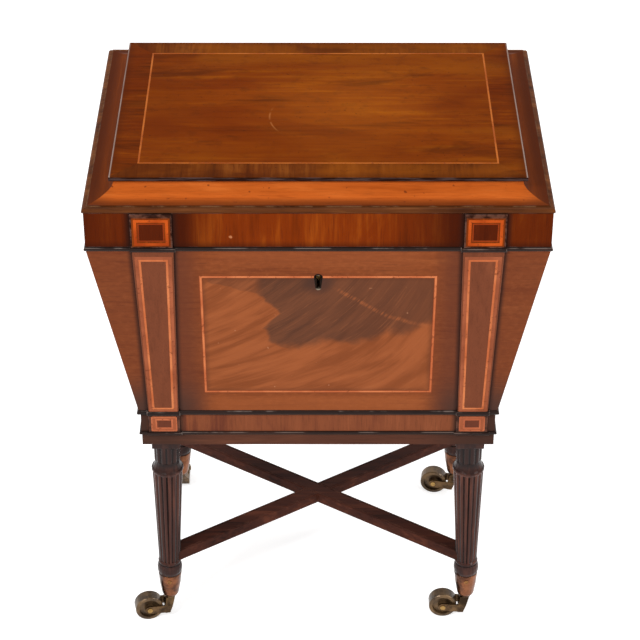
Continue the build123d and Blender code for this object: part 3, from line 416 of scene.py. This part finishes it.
def frieze_wood():
    """Frieze veneer with upright grain: orange in the middle, darker beside the tablets, red-brown at the ends."""
    t = paint("mahogany_frieze")
    x, y, z = t.xyz()
    base, pores = grain(t, (98, 36, 4), (122, 46, 6), (146, 66, 13), "Z", 0.9, 1.0)
    front = t.below(y, frieze_high.y)
    shade = t.curve(t.scaled(x, 0.5 / frieze_high.x, 0.5),
                    [(0.0, 0.75), (0.08, 0.55), (0.14, 0.9), (0.215, 0.9), (0.25, 0.35), (0.3, 0.1), (0.5, 0.0),
                     (0.64, 0.12), (0.74, 0.6), (0.785, 0.9), (0.86, 0.9), (0.92, 0.5), (1.0, 0.6)])
    shade = t.most(t.product(shade, front), t.product(t.minus(1.0, front), 0.4))
    # painted shadow beside the tablets
    painted_shadow = t.beside(t.size(x), tablet_sides("lid_tablets")[1], 9 * MM)
    chip = t.plus(t.reach(t.minus(x, CHIP_X), t.minus(z, CHIP_Z)),
                  t.product(t.noise(t.place, 500.0, 2.0, 0.6), 2.4 * MM))
    base = t.coats(base,
                   (shade, (58, 17, 4)),
                   (t.ramp(t.minus(z, frieze_low.z), 0.0, 9 * MM, 0.55, 0.0), (48, 18, 8)),
                   (t.product(painted_shadow, front, 0.8), (40, 20, 14)),
                   (t.product(t.ramp(chip, 2.2 * MM, 3.6 * MM, 0.7, 0.0), front), (196, 128, 84)))
    return polished(t, base, pores, gloss=0.24, grime=0.95, wear=0.5, reach=14 * MM, shine=0.02)


# The case and the stand

def faces_side(t):
    """1 on faces that look to the left or right."""
    return t.above(t.size(t.normal()[0]), 0.8)


def side_veneer(t):
    return grain(t, (94, 48, 31), (117, 62, 39), (134, 72, 45), "Z", 0.8, 0.6)[0]


def side_or_back(name, back):
    """The side boards, or the back board in plainer wood whose edges show the same veneer as the sides."""
    t = paint(name)
    base, pores = grain(t, (84, 45, 29), (110, 61, 39), (132, 77, 49), "X", 0.8, 0.7)
    base = t.mix(faces_side(t), base, side_veneer(t)) if back else side_veneer(t)
    return polished(t, base, pores, gloss=0.42 if back else 0.34, grime=0.9, wear=0.4, reach=16 * MM, shine=0.02)


def flame_front():
    """The front board: a plain border round a panel of figured veneer with crossing flames."""
    t = paint("mahogany_front_flame")
    x, _, z = t.xyz()
    off_middle = t.size(x)
    border, pores = grain(t, (108, 50, 24), (129, 65, 32), (146, 78, 40), "X", 0.8, 0.8)
    mottle = t.noise(t.moved((130, 1, 210)), 1.0, 3.0, 0.6)
    aside = t.product(t.ramp(off_middle, PANEL_HALF_W - 10 * MM, PANEL_HALF_W + 22 * MM, 0.0, 0.65),
                      t.ramp(off_middle, 180 * MM, 215 * MM, 1.0, 0.45))
    under_panel = t.product(t.ramp(z, PANEL_FOOT_Z - 14 * MM, PANEL_FOOT_Z, 0.4, 0.0),
                            t.ramp(off_middle, 110 * MM, 150 * MM, 1.0, 0.0))
    over_panel = t.product(t.ramp(z, PANEL_TOP_Z, board_high.z - 6 * MM, 0.0, 0.3),
                           t.ramp(off_middle, 90 * MM, 150 * MM, 1.0, 0.0))
    outer_foot = t.product(t.ramp(z, board_low.z, board_low.z + 70 * MM, 0.9, 0.0),
                           t.ramp(off_middle, 116 * MM, 170 * MM))
    narrower = t.product(t.minus(board_high.z, z), PILASTER_TAPER)
    from_pilaster = t.plus(t.size(t.minus(off_middle, PILASTER_X)), narrower)
    border = t.coats(border,
                     (t.ramp(mottle, 0.5, 0.66, 0.0, 0.24), (96, 44, 24)),
                     (t.ramp(mottle, 0.36, 0.46, 0.18, 0.0), (160, 88, 50)),
                     (aside, (94, 49, 34)),
                     (under_panel, (168, 92, 50)),
                     (over_panel, (160, 86, 48)),
                     (outer_foot, (68, 47, 40)),
                     # painted shadow beside the pilasters
                     (t.product(t.beside(from_pilaster, [PILASTER_HALF_W], 7 * MM), 0.75), (50, 30, 25)))
    inside = t.product(t.below(off_middle, PANEL_HALF_W), t.below(z, PANEL_TOP_Z), t.above(z, PANEL_FOOT_Z))
    front = t.mix(inside, border, flame_figure(t, x, z))
    return polished(t, t.mix(faces_side(t), front, side_veneer(t)), pores, gloss=0.34, grime=0.9, wear=0.4,
                    reach=22 * MM, shine=0.045)


def flame_figure(t, x, z):
    """Dark heart above, with a ragged left side and foot, over brighter feathers that rise to the right."""
    rise = t.minus(z, PANEL_MID_Z)
    across = t.minus(rise, t.product(x, t.scaled(rise, 4.6, 0.8)))
    along = t.plus(x, rise)
    broad = t.noise(t.vector(t.product(along, 7.0), 0.0, t.product(across, 50.0)), 1.0, 3.0, 0.55, 0.4)
    fine = t.noise(t.vector(t.product(along, 16.0), 0.0, t.product(across, 420.0)), 1.0, 3.0, 0.6, 0.3)
    ragged = t.product(t.minus(t.noise(t.moved((34, 1, 34)), 1.0, 4.0, 0.62), 0.5), 0.16)
    feather = t.product(t.minus(broad, 0.5), 0.12)
    # u and v run from 0 to 1 over the panel, rightwards and upwards
    u = t.scaled(x, 0.5 / PANEL_HALF_W, 0.5)
    v = t.scaled(rise, 1 / (PANEL_TOP_Z - PANEL_FOOT_Z), 0.5)
    left_side = t.curve(v, [(0.0, 0.46), (0.375, 0.36), (0.425, 0.30), (0.56, 0.255), (0.69, 0.335), (0.86, 0.23),
                            (0.96, 0.01), (1.0, 0.0)])
    foot = t.curve(u, [(0.0, 0.4), (0.42, 0.4), (0.52, 0.44), (0.64, 0.42), (0.75, 0.45), (0.8, 0.535),
                       (0.87, 0.5), (0.94, 0.575), (1.0, 0.61)])
    past_side = t.ramp(t.plus(t.minus(u, left_side), feather), -0.004, 0.022)
    above_foot = t.ramp(t.plus(t.minus(v, foot), ragged), -0.03, 0.06)
    heart = t.product(past_side, above_foot, t.ramp(u, 0.22, 0.27, 0.45, 1.0))
    glow = t.mix(t.ramp(broad, 0.34, 0.64), (132, 69, 36), (156, 85, 47))
    shade = t.mix(t.ramp(broad, 0.32, 0.66), (88, 53, 37), (110, 65, 43))
    shade = t.mix(t.ramp(u, 0.45, 1.0, 0.0, 0.5), shade, (112, 62, 38))
    # a lighter streak that falls to the right through the heart
    seam = t.curve(u, [(0.0, 1.0), (0.55, 0.93), (0.8, 0.665), (1.0, 0.575)])
    off_seam = t.size(t.plus(t.minus(v, seam), t.product(ragged, 0.35)))
    light = t.product(t.ramp(off_seam, 0.004, 0.026, 0.5, 0.0), t.ramp(u, 0.54, 0.62), t.ramp(fine, 0.42, 0.58))
    to_rim = t.least(t.minus(PANEL_HALF_W, t.size(x)),
                     t.least(t.minus(PANEL_TOP_Z, z), t.minus(z, PANEL_FOOT_Z)))
    from_key = t.reach(x, t.minus(z, KEY_Z))
    spots = t.ramp(t.noise(t.place, 150.0, 1.0, 0.4), 0.775, 0.8)
    return t.coats(t.mix(heart, glow, shade),
                   (t.product(t.ramp(fine, 0.54, 0.72), 0.24), (170, 100, 60)),
                   (t.ramp(fine, 0.3, 0.46, 0.2, 0.0), (92, 46, 26)),
                   (light, (166, 92, 52)),
                   # soft shadows of old dirt round the panel and the keyhole
                   (t.ramp(to_rim, 1.2 * MM, 8 * MM, 0.4, 0.0), (84, 46, 30)),
                   (t.ramp(from_key, 6 * MM, 26 * MM, 0.75, 0.0), (70, 46, 38)),
                   (t.product(spots, 0.4), (200, 140, 104)))


def tablet_wood(name, node, ring, dark, rim, edge_colour, shine):
    """A tablet: a dark square inside its lines, a lighter crossbanding round it, and a dark outer edge.

    The crossbanding reaches out of the square as far as ring.
    """
    t = paint(name)
    inner, pores = grain(t, *dark, "Z", 1.3, 0.7)
    outer = grain(t, *rim, "Z", 2.0, 0.8)[0]
    x, _, z = t.xyz()

    def inside(grow):
        return reduce(t.most, [
            t.product(t.between(x, low_x - grow, high_x + grow), t.between(z, low_z - grow, high_z + grow))
            for low_x, high_x, low_z, high_z in tablet_squares(node)])

    edge = t.mix(t.ramp(t.noise(t.place, 120.0, 3.0, 0.6), 0.4, 0.62), edge_colour, WORN_BROWN)
    base = t.mix(inside(0.0), t.mix(inside(ring), edge, outer), inner)
    return polished(t, base, pores, gloss=0.3, wear=0.55, edge=1.2 * MM, reach=4 * MM, shine=shine)


def apron_wood():
    """Apron veneer with upright grain, with painted shadow beside the tablets and darker at the ends."""
    t = paint("mahogany_apron")
    x, y, _ = t.xyz()
    base, pores = grain(t, (102, 52, 36), (128, 70, 44), (146, 82, 52), "Z", 1.1, 0.9)
    ends = tablet_sides("apron_tablets")[1]
    front = t.below(y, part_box("apron_front")[1].y)
    off_middle = t.size(x)
    outer = t.ramp(off_middle, ends[1] - 1 * MM, ends[1] + 3 * MM, 0.0, 0.9)
    # painted shadow beside the tablets, and darker at the ends
    painted_shadow = t.product(t.most(t.product(t.beside(off_middle, ends, 9 * MM), 0.8), outer), front)
    return polished(t, t.mix(painted_shadow, base, (50, 35, 30)), pores, **CASE_POLISH)


def rail_wood():
    """Dark rails under the case, darker still towards the corners."""
    t = paint("mahogany_rail")
    base, pores = grain(t, (64, 37, 28), (86, 51, 38), (106, 64, 46), "X", 1.0, 0.8)
    corner = t.ramp(t.size(t.xyz()[0]), 110 * MM, 190 * MM, 0.0, 0.6)
    return polished(t, t.mix(corner, base, (46, 35, 31)), pores, **CASE_POLISH)


def bead_wood():
    """Nearly black beads, with a painted highlight in places along the side that looks up."""
    t = paint("mahogany_bead")
    base, pores = grain(t, (20, 13, 11), (36, 23, 19), (56, 34, 26), "X")
    up = t.normal()[2]
    # painted highlight along the side of the bead that faces up
    crown_highlight = t.product(t.ramp(up, 0.4, 0.62), t.ramp(up, 0.72, 0.88, 1.0, 0.0))
    rubbed_and_sheen = t.ramp(t.noise(t.place, 30.0, 3.0, 0.6), 0.48, 0.62)
    base = t.mix(t.product(crown_highlight, rubbed_and_sheen, 0.55), base, (128, 114, 106))
    return polished(t, base, pores, gloss=0.3, grime=0.6, wear=0.9, edge=1.3 * MM, reach=3 * MM, shine=0.11,
                    worn=(160, 142, 134))


def leg_wood():
    """Turned and reeded leg: near black between the reeds, red-brown on them, with a hard old shine."""
    t = paint("mahogany_leg")
    base, pores = grain(t, (40, 19, 14), (68, 36, 28), (102, 58, 44), "Z", 1.2)
    x, y, z = t.xyz()
    # the four legs mirror each other, so sizes of x and y serve for all, each from the axis of its leaning leg
    out = t.product(t.minus(LEG_TOP_Z, z), math.tan(LEG_SPLAY))
    from_x = t.minus(t.size(x), t.plus(LEG_X, out))
    from_y = t.minus(t.size(y), t.plus(LEG_Y, out))
    angle = t.math("ARCTAN2", from_y, from_x)
    between_reeds = t.ramp(t.math("COSINE", t.product(angle, REEDS)), 0.1, 0.9)
    between_lobes = t.ramp(t.math("COSINE", t.product(angle, LOBES)), 0.2, 0.9)
    on_reeds = t.product(t.ramp(z, *REEDS_BEGIN), t.ramp(z, *REEDS_END, 1.0, 0.0))
    on_lobes = t.product(t.ramp(z, *LOBES_BEGIN), t.ramp(z, *LOBES_END, 1.0, 0.0))
    hollow = t.most(t.product(between_reeds, on_reeds), t.product(between_lobes, on_lobes))
    neck = t.product(t.ramp(z, *NECK_BEGINS), t.ramp(z, *LOBES_BEGIN, 1.0, 0.0))
    turned = t.most(t.ramp(z, *COLLAR_BEGINS), t.ramp(z, *RING_ENDS, 0.8, 0.0))
    # painted shade, with old dirt, near black in the valleys between the reeds and the lobes
    base = t.coats(base,
                   (t.product(hollow, 0.9), (7, 5, 5)),
                   (t.product(neck, 0.7), (20, 13, 12)),
                   (t.product(turned, 0.62), (28, 21, 21)))
    # reeds stay crisper than the plain turning
    soften = t.ramp(on_reeds, 0.0, 1.0, 2.4 * MM, 0.7 * MM)
    return polished(t, base, pores, gloss=0.14, grime=1.0, wear=0.08, edge=1.0 * MM, reach=7 * MM, shine=0.14,
                    worn=(112, 84, 76), soften=soften)


# Inlay, metals and the lining

def string_wood(name, bright, rim, pitch, shine=0.05):
    """A line of inlay with short cross marks along it, a pitch apart."""
    t = paint(name)
    x, y, z = t.xyz()
    marks = t.math("SINE", t.product(t.plus(x, t.plus(y, z)), 2 * math.pi / pitch))
    uneven = t.noise(t.place, 240.0, 2.0, 0.6)
    long_fade = t.ramp(t.noise(t.place, 26.0, 2.0, 0.5), 0.35, 0.65)
    base = t.coats(t.mix(long_fade, rim, bright),
                   (t.product(t.ramp(marks, 0.3, 1.0), 0.4), rim),
                   (t.product(t.ramp(uneven, 0.58, 0.7), 0.6), (104, 46, 24)))
    return t.finish(base, 0.36, uneven, STRING_DEPTH, Specular_IOR_Level=shine)


def metal(name, dark, bright, rough, wear, metallic=0.9, grime=0.7, scale=55.0, reach=4 * MM,
          rubbed_to=(206, 164, 96), pale_foot=None, soften=0.0, shine=0.5):
    """Old brass or steel: dark patina and painted shade in the hollows, bright where hands and floors rub it.

    pale_foot is the height of a foot that catches the light.
    """
    t = paint(name)
    patches = t.noise(t.place, scale, 5.0, 0.65)
    base = t.coats(t.mix(t.ramp(patches, 0.38, 0.66), dark, bright),
                   (t.product(t.ramp(t.edge_mask(0.7 * MM), 0.02, 0.2), wear), rubbed_to))
    if pale_foot is not None:
        lit = t.ramp(t.xyz()[2], pale_foot + 1 * MM, pale_foot + 3 * MM, 0.6, 0.0)
        base = t.mix(lit, base, (176, 160, 138))
    # dark of patina and painted shade in the hollows
    corner = t.product(t.crevice_mask(reach), grime)
    base = t.mix(corner, base, INK)
    scratches = t.noise(t.moved((300, 300, 2600)), 1.0, 3.0, 0.7)
    roughness = t.plus(t.ramp(patches, 0.3, 0.7, rough - 0.1, rough + 0.12), t.product(corner, 0.3))
    return t.finish(base, roughness, scratches, RUB_DEPTH, soften, Metallic=metallic, Specular_IOR_Level=shine)


def sheet_lining():
    """Dull grey sheet metal, soldered and stained."""
    t = paint("lining_sheet")
    stains = t.noise(t.moved((1, 1, 0.5)), 18.0, 5.0, 0.6)
    crystals = t.add("ShaderNodeTexVoronoi", {"Vector": t.place, "Scale": 70.0}).outputs["Color"]
    base = t.mix(t.ramp(stains, 0.35, 0.7), (112, 114, 112), (150, 152, 150))
    base = t.mix(0.12, base, crystals, "OVERLAY")
    # dirt and painted shade in the corners of the lining
    base = t.mix(t.product(t.crevice_mask(20 * MM), 0.6), base, (52, 46, 40))
    return t.finish(base, t.ramp(stains, 0.3, 0.7, 0.38, 0.6), stains, SHEET_DEPTH, Metallic=0.75)


# Lines of inlay, as thin pieces on the solids

STRING = string_wood("boxwood_line", (214, 126, 78), (188, 98, 56), 2.2 * MM)
STRING_RIM = string_wood("rosewood_line", (150, 74, 40), (126, 60, 34), 3.1 * MM)
STRING_TOP = string_wood("boxwood_line_top", (176, 96, 34), (150, 72, 22), 2.6 * MM, 0.03)
BAND_CASE = string_wood("crossbanding_case", (168, 92, 60), (144, 76, 48), 2.4 * MM)
BAND_TABLET = string_wood("crossbanding_tablet", (196, 84, 26), (152, 56, 14), 1.9 * MM, 0.035)
LINE_TABLET = string_wood("boxwood_line_tablet", (150, 58, 18), (124, 44, 12), 1.6 * MM, 0.035)
LINE_APRON = string_wood("boxwood_line_apron", (196, 110, 72), (174, 92, 60), 1.6 * MM)

# Rings on the tablets, from outside to inside: how far each ring's outer edge lies inside the tablet at its sides,
# top and foot, how wide it is, and its wood
TABLET_RINGS = {
    "lid_tablets": ((3.8 * MM, 6.9 * MM, 2.8 * MM, 3.4 * MM, BAND_TABLET),
                    (8.4 * MM, 11.5 * MM, 8.1 * MM, 1.4 * MM, LINE_TABLET)),
    "apron_tablets": ((3.2 * MM, 3.4 * MM, 1.6 * MM, 1.4 * MM, LINE_APRON),
                      (8.2 * MM, 6.2 * MM, 4.6 * MM, 1.9 * MM, LINE_APRON))}

# Lines on a pilaster, in millimetres: half the width of the outline at its foot and top, its gap from the
# pilaster's foot and top, how wide the line is, and its wood
PILASTER_LINES = {"band": (14.6, 18.6, 1.6, 9.0, 4.2, BAND_CASE), "line": (11.6, 15.3, 4.4, 12.4, 2.8, STRING)}

# Lines round the front panel: width, share of the usual height out of the wood, and wood
FRONT_LINES = {"rim": (3.8 * MM, 0.6, STRING_RIM), "line": (2.3 * MM, 1.0, STRING)}

UP, FORWARD = Vector((0, 0, 1)), Vector((0, -1, 0))
OUT_OF_FRONT = Vector((0, -math.cos(TAPER), -math.sin(TAPER)))


def front_y(z, proud=0.0):
    """Depth of the sloping front at a height."""
    return board_low.y + (board_high.z - z) * math.tan(TAPER) - proud


def rectangle(low_u, high_u, low_v, high_v):
    return [(low_u, low_v), (high_u, low_v), (high_u, high_v), (low_u, high_v)]


def new_object(name, mesh, material):
    """Puts a finished bmesh into the scene."""
    data = bpy.data.meshes.new(name)
    mesh.to_mesh(data)
    mesh.free()
    data.materials.append(material)
    piece = bpy.data.objects.new(name, data)
    bpy.context.scene.collection.objects.link(piece)
    return piece


def outline_moved(points, by, closed):
    """Corners of an outline moved out by a distance, square to each run and mitred."""
    count = len(points)
    centre = sum(points, Vector((0, 0))) / count

    def side(a, b):
        """Unit vector square to the run from a to b, away from the middle."""
        run = (b - a).normalized()
        square = Vector((run.y, -run.x))
        return square if square.dot((a + b) / 2 - centre) > 0 else -square

    moved = []
    for i, here in enumerate(points):
        before = side(points[i - 1], here) if closed or i > 0 else None
        after = side(here, points[(i + 1) % count]) if closed or i < count - 1 else None
        before, after = before or after, after or before
        moved.append(here + (before + after) * (by / (1 + before.dot(after))))
    return moved


def line_ring(name, corners, width, place, out, body, material, closed=True):
    """A thin mitred line of inlay.

    corners are (u, v) along its middle, place(u, v) gives the point on the surface, and out the way off it.
    """
    count = len(corners)
    points = [Vector(c) for c in corners]
    inner, outer = (outline_moved(points, by, closed) for by in (-width / 2, width / 2))
    mesh = bmesh.new()
    rows = [[mesh.verts.new(Vector(place(*p)) + out * lift) for p in line]
            for line, lift in ((inner, -STRING_SINK), (inner, STRING_PROUD), (outer, STRING_PROUD),
                               (outer, -STRING_SINK))]
    for i in range(count if closed else count - 1):
        j = (i + 1) % count
        for low, high in zip(rows, rows[1:] + rows[:1]):
            mesh.faces.new((low[i], low[j], high[j], high[i]))
    if not closed:
        for end in (0, -1):
            mesh.faces.new([row[end] for row in rows])
    bmesh.ops.recalc_face_normals(mesh, faces=mesh.faces)
    piece = new_object(name, mesh, material)
    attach(piece, body)


def tablet_sides(node):
    """Left and right end of each of a pair of tablets, from the vertices on its right side."""
    xs = [v.co.x for v in nodes[node].data.vertices if v.co.x > 0]
    return (-max(xs), -min(xs)), (min(xs), max(xs))


def tablet_rectangle(node, ends, sides, top, foot):
    """A tablet's front less a border: low x, high x, low z and high z."""
    low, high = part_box(node)
    return ends[0] + sides, ends[1] - sides, low.z + foot, high.z - top


def tablet_squares(node):
    """What the inner ring of each tablet encloses."""
    sides, top, foot, width, _ = TABLET_RINGS[node][-1]
    return [tablet_rectangle(node, ends, sides + width, top + width, foot + width) for ends in tablet_sides(node)]


def lay_pilaster_lines(name):
    """A broad banding with a bright line along its inner edge, tapering with the pilaster."""
    low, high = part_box("pilaster_" + name)
    proud = front_y(high.z) - low.y
    middle = (low.x + high.x) / 2
    for part, (foot_half, top_half, foot_gap, top_gap, width, material) in PILASTER_LINES.items():
        foot_z, top_z = low.z + foot_gap * MM, high.z - top_gap * MM
        corners = [(middle - foot_half * MM, foot_z), (middle + foot_half * MM, foot_z),
                   (middle + top_half * MM, top_z), (middle - top_half * MM, top_z)]
        line_ring(f"string_pilaster_{part}_{name}", corners, width * MM, lambda u, v: (u, front_y(v, proud), v),
                  OUT_OF_FRONT, "case", material)


def lay_tablet_lines(node, body):
    front_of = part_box(node)[0].y
    for side, ends in zip(("left", "right"), tablet_sides(node)):
        for number, (sides, top, foot, width, material) in enumerate(TABLET_RINGS[node], 1):
            half = width / 2
            corners = rectangle(*tablet_rectangle(node, ends, sides + half, top + half, foot + half))
            line_ring(f"string_{node}_{side}_{number}", corners, width, lambda u, v: (u, front_of, v),
                      FORWARD, body, material)


def lay_inlay():
    inset = STRING_INSET
    top = rectangle(panel_low.x + inset, panel_high.x - inset, panel_low.y + inset, panel_high.y - inset)
    line_ring("string_lid_top", top, 2.0 * MM, lambda u, v: (u, v, panel_high.z), UP, "lid", STRING_TOP)
    # the line round the front panel is broken at the keyhole
    front = [(KEY_GAP, PANEL_TOP_Z), (PANEL_HALF_W, PANEL_TOP_Z), (PANEL_HALF_W, PANEL_FOOT_Z),
             (-PANEL_HALF_W, PANEL_FOOT_Z), (-PANEL_HALF_W, PANEL_TOP_Z), (-KEY_GAP, PANEL_TOP_Z)]
    for part, (width, lift, material) in FRONT_LINES.items():
        line_ring("string_front_" + part, front, width, lambda u, v: (u, front_y(v), v), OUT_OF_FRONT * lift,
                  "case", material, closed=False)
    lay_pilaster_lines("left")
    lay_pilaster_lines("right")
    lay_tablet_lines("lid_tablets", "lid")
    lay_tablet_lines("apron_tablets", "case")


# Finishes for the solids

def clad(names, material):
    """Gives CAD nodes a material, keeping their meshes."""
    for name in names:
        if not nodes[name].material_slots:
            nodes[name].data.materials.append(material)
        for slot in nodes[name].material_slots:
            slot.material = material


def at_legs(stem):
    """Names of the four nodes of one kind, one at each leg."""
    return [f"{stem}_{leg}" for leg in LEGS]


def dress_wood():
    clad(["lid_panel"], crossbanded_top())
    clad(["lid_cove"], cove_wood())
    clad(["lid_edge_moulding"],
         wood("mahogany_lid_edge", (56, 27, 13), (88, 47, 22), (118, 70, 36), "X", gloss=0.3, grime=0.6, wear=0.9,
              edge=1.3 * MM, reach=3 * MM, shine=0.03, worn=(132, 96, 66)))
    clad(["lid_frieze_front", "lid_frieze_left", "lid_frieze_right", "lid_frieze_back"], frieze_wood())
    clad(["lid_tablets"],
         tablet_wood("mahogany_lid_tablet", "lid_tablets", 8.0 * MM, ((64, 20, 5), (80, 27, 6), (94, 34, 9)),
                     ((88, 34, 8), (112, 46, 10), (138, 62, 16)), (44, 21, 13), 0.022))
    clad(["front_board"], flame_front())
    clad(["left_board", "right_board"], side_or_back("mahogany_side", False))
    clad(["back_board"], side_or_back("mahogany_back", True))
    clad(["pilaster_left", "pilaster_right"],
         wood("mahogany_pilaster", (102, 54, 34), (119, 64, 41), (134, 74, 47), "Z", 1.2, 0.7, **CASE_POLISH))
    clad(["rim_moulding", "waist_moulding", "stand_moulding"], bead_wood())
    clad(["apron_front", "apron_left", "apron_right", "apron_back"], apron_wood())
    clad(["apron_tablets"],
         tablet_wood("mahogany_apron_tablet", "apron_tablets", 6.0 * MM,
                     ((88, 44, 31), (102, 53, 37), (116, 61, 41)),
                     ((140, 72, 46), (156, 84, 54), (172, 96, 64)), (56, 36, 30), 0.045))
    clad(["base_rails"], rail_wood())
    clad(at_legs("leg"), leg_wood())
    clad(["stretcher_bar_under", "stretcher_bar_over"],
         wood("mahogany_stretcher", (42, 19, 13), (68, 34, 24), (96, 51, 35), "X", gloss=0.36, wear=0.7,
              shine=0.055, edge=1.4 * MM, worn=(124, 82, 66)))
    for run, along in (("long", "X"), ("cross", "Y")):
        clad(["divisions_" + run],
             wood("division_wood_" + run, (104, 62, 38), (142, 92, 58), (166, 112, 74), along, **INSIDE_POLISH))
    clad(["bottom_board"], wood("bottom_wood", (92, 58, 38), (128, 84, 56), (150, 104, 70), "X", **INSIDE_POLISH))


def dress_metal():
    clad(["lining"], sheet_lining())
    clad(at_legs("caster_cup"),
         metal("brass_cup", (62, 38, 29), (136, 84, 54), rough=0.2, wear=0.2, scale=38.0,
               rubbed_to=(170, 118, 72), soften=2.4 * MM))
    clad(at_legs("caster_fork"),
         metal("brass_horn", (56, 42, 29), (112, 86, 58), rough=0.26, wear=0.5, grime=0.4, reach=2.5 * MM,
               rubbed_to=(160, 124, 80)))
    clad(at_legs("caster_wheel"),
         metal("brass_wheel", (66, 50, 34), (116, 90, 60), rough=0.34, wear=0.4, metallic=0.55, grime=0.15,
               reach=2.5 * MM, rubbed_to=(148, 114, 72)))
    clad(at_legs("caster_axle"), metal("brass_axle", (120, 92, 52), (178, 142, 84), rough=0.3, wear=0.9))
    clad(["cup_screws"], metal("brass_screw", (96, 62, 38), (160, 110, 62), rough=0.3, wear=0.5))
    clad(["hinge_leaves_case", "hinge_leaves_lid", "hinge_pins", "hinge_screws_case", "screws_lid",
          "lock_link_plate", "lock_case", "lock_bolt"],
         metal("brass_fittings", (130, 98, 52), (184, 148, 86), rough=0.3, wear=0.8))
    clad(["keyhole_liner"],
         metal("brass_keyhole", (12, 8, 6), (32, 22, 16), rough=0.6, wear=0.1, metallic=0.0, shine=0.04,
               rubbed_to=(96, 66, 44), pale_foot=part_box("keyhole_liner")[0].z))
    clad(["lock_drill_pin"],
         metal("steel_drill_pin", (70, 66, 62), (150, 144, 138), rough=0.3, wear=0.3, metallic=0.4, grime=0.3,
               rubbed_to=(160, 156, 150)))


# Studio: white floor and backdrop, soft lamps, and the camera

def make_stage():
    """White ground that keeps the object's shadow and shows white to the camera and in reflections."""
    t = paint("studio_white")
    matte = t.add("ShaderNodeBsdfDiffuse", {"Color": FLOOR_GREY}).outputs[0]
    bright = t.add("ShaderNodeEmission", {"Color": WHITE, "Strength": FLOOR_GLOW}).outputs[0]
    both = t.add("ShaderNodeAddShader", {0: matte, 1: bright}).outputs[0]
    pick = t.add("ShaderNodeMixShader", {0: t.seen(), 1: matte, 2: both}).outputs[0]
    t.add("ShaderNodeOutputMaterial", {"Surface": pick})
    mesh = bmesh.new()
    bmesh.ops.create_grid(mesh, x_segments=1, y_segments=1, size=FLOOR_HALF_W)
    floor = new_object("floor", mesh, t.owner)


def light_up():
    """An even pale room that reads as white to the camera and in reflections, and three soft lamps."""
    bpy.context.scene.world = bpy.data.worlds.new("studio")
    t = Tree(bpy.context.scene.world)
    room = t.add("ShaderNodeBackground", {"Color": WHITE, "Strength": ROOM_STRENGTH}).outputs[0]
    white = t.add("ShaderNodeBackground", {"Color": WHITE, "Strength": 1.0}).outputs[0]
    pick = t.add("ShaderNodeMixShader", {0: t.seen(), 1: room, 2: white}).outputs[0]
    t.add("ShaderNodeOutputWorld", {"Surface": pick})
    for name, place, size, power in LAMPS:
        data = bpy.data.lights.new(name, "AREA")
        data.shape, data.size, data.energy = "DISK", size, power
        lamp = bpy.data.objects.new(name, data)
        lamp.location = place
        lamp.rotation_euler = (Vector(LAMP_TARGET) - Vector(place)).to_track_quat("-Z", "Y").to_euler()
        bpy.context.scene.collection.objects.link(lamp)


def make_camera():
    data = bpy.data.cameras.new("camera")
    data.lens, data.sensor_width = CAMERA_LENS, CAMERA_SENSOR
    camera = bpy.data.objects.new("camera", data)
    heading, pitch, roll = (Matrix.Rotation(angle, 4, axis) for angle, axis in (
        (CAMERA_HEADING, "Z"), (CAMERA_PITCH, "X"), (CAMERA_ROLL, "Z")))
    camera.matrix_world = Matrix.Translation(CAMERA_PLACE) @ heading @ pitch @ roll
    bpy.context.scene.collection.objects.link(camera)
    bpy.context.scene.camera = camera


dress_wood()
dress_metal()
lay_inlay()
make_stage()
light_up()
make_camera()
bpy.context.scene.view_settings.view_transform = "Standard"
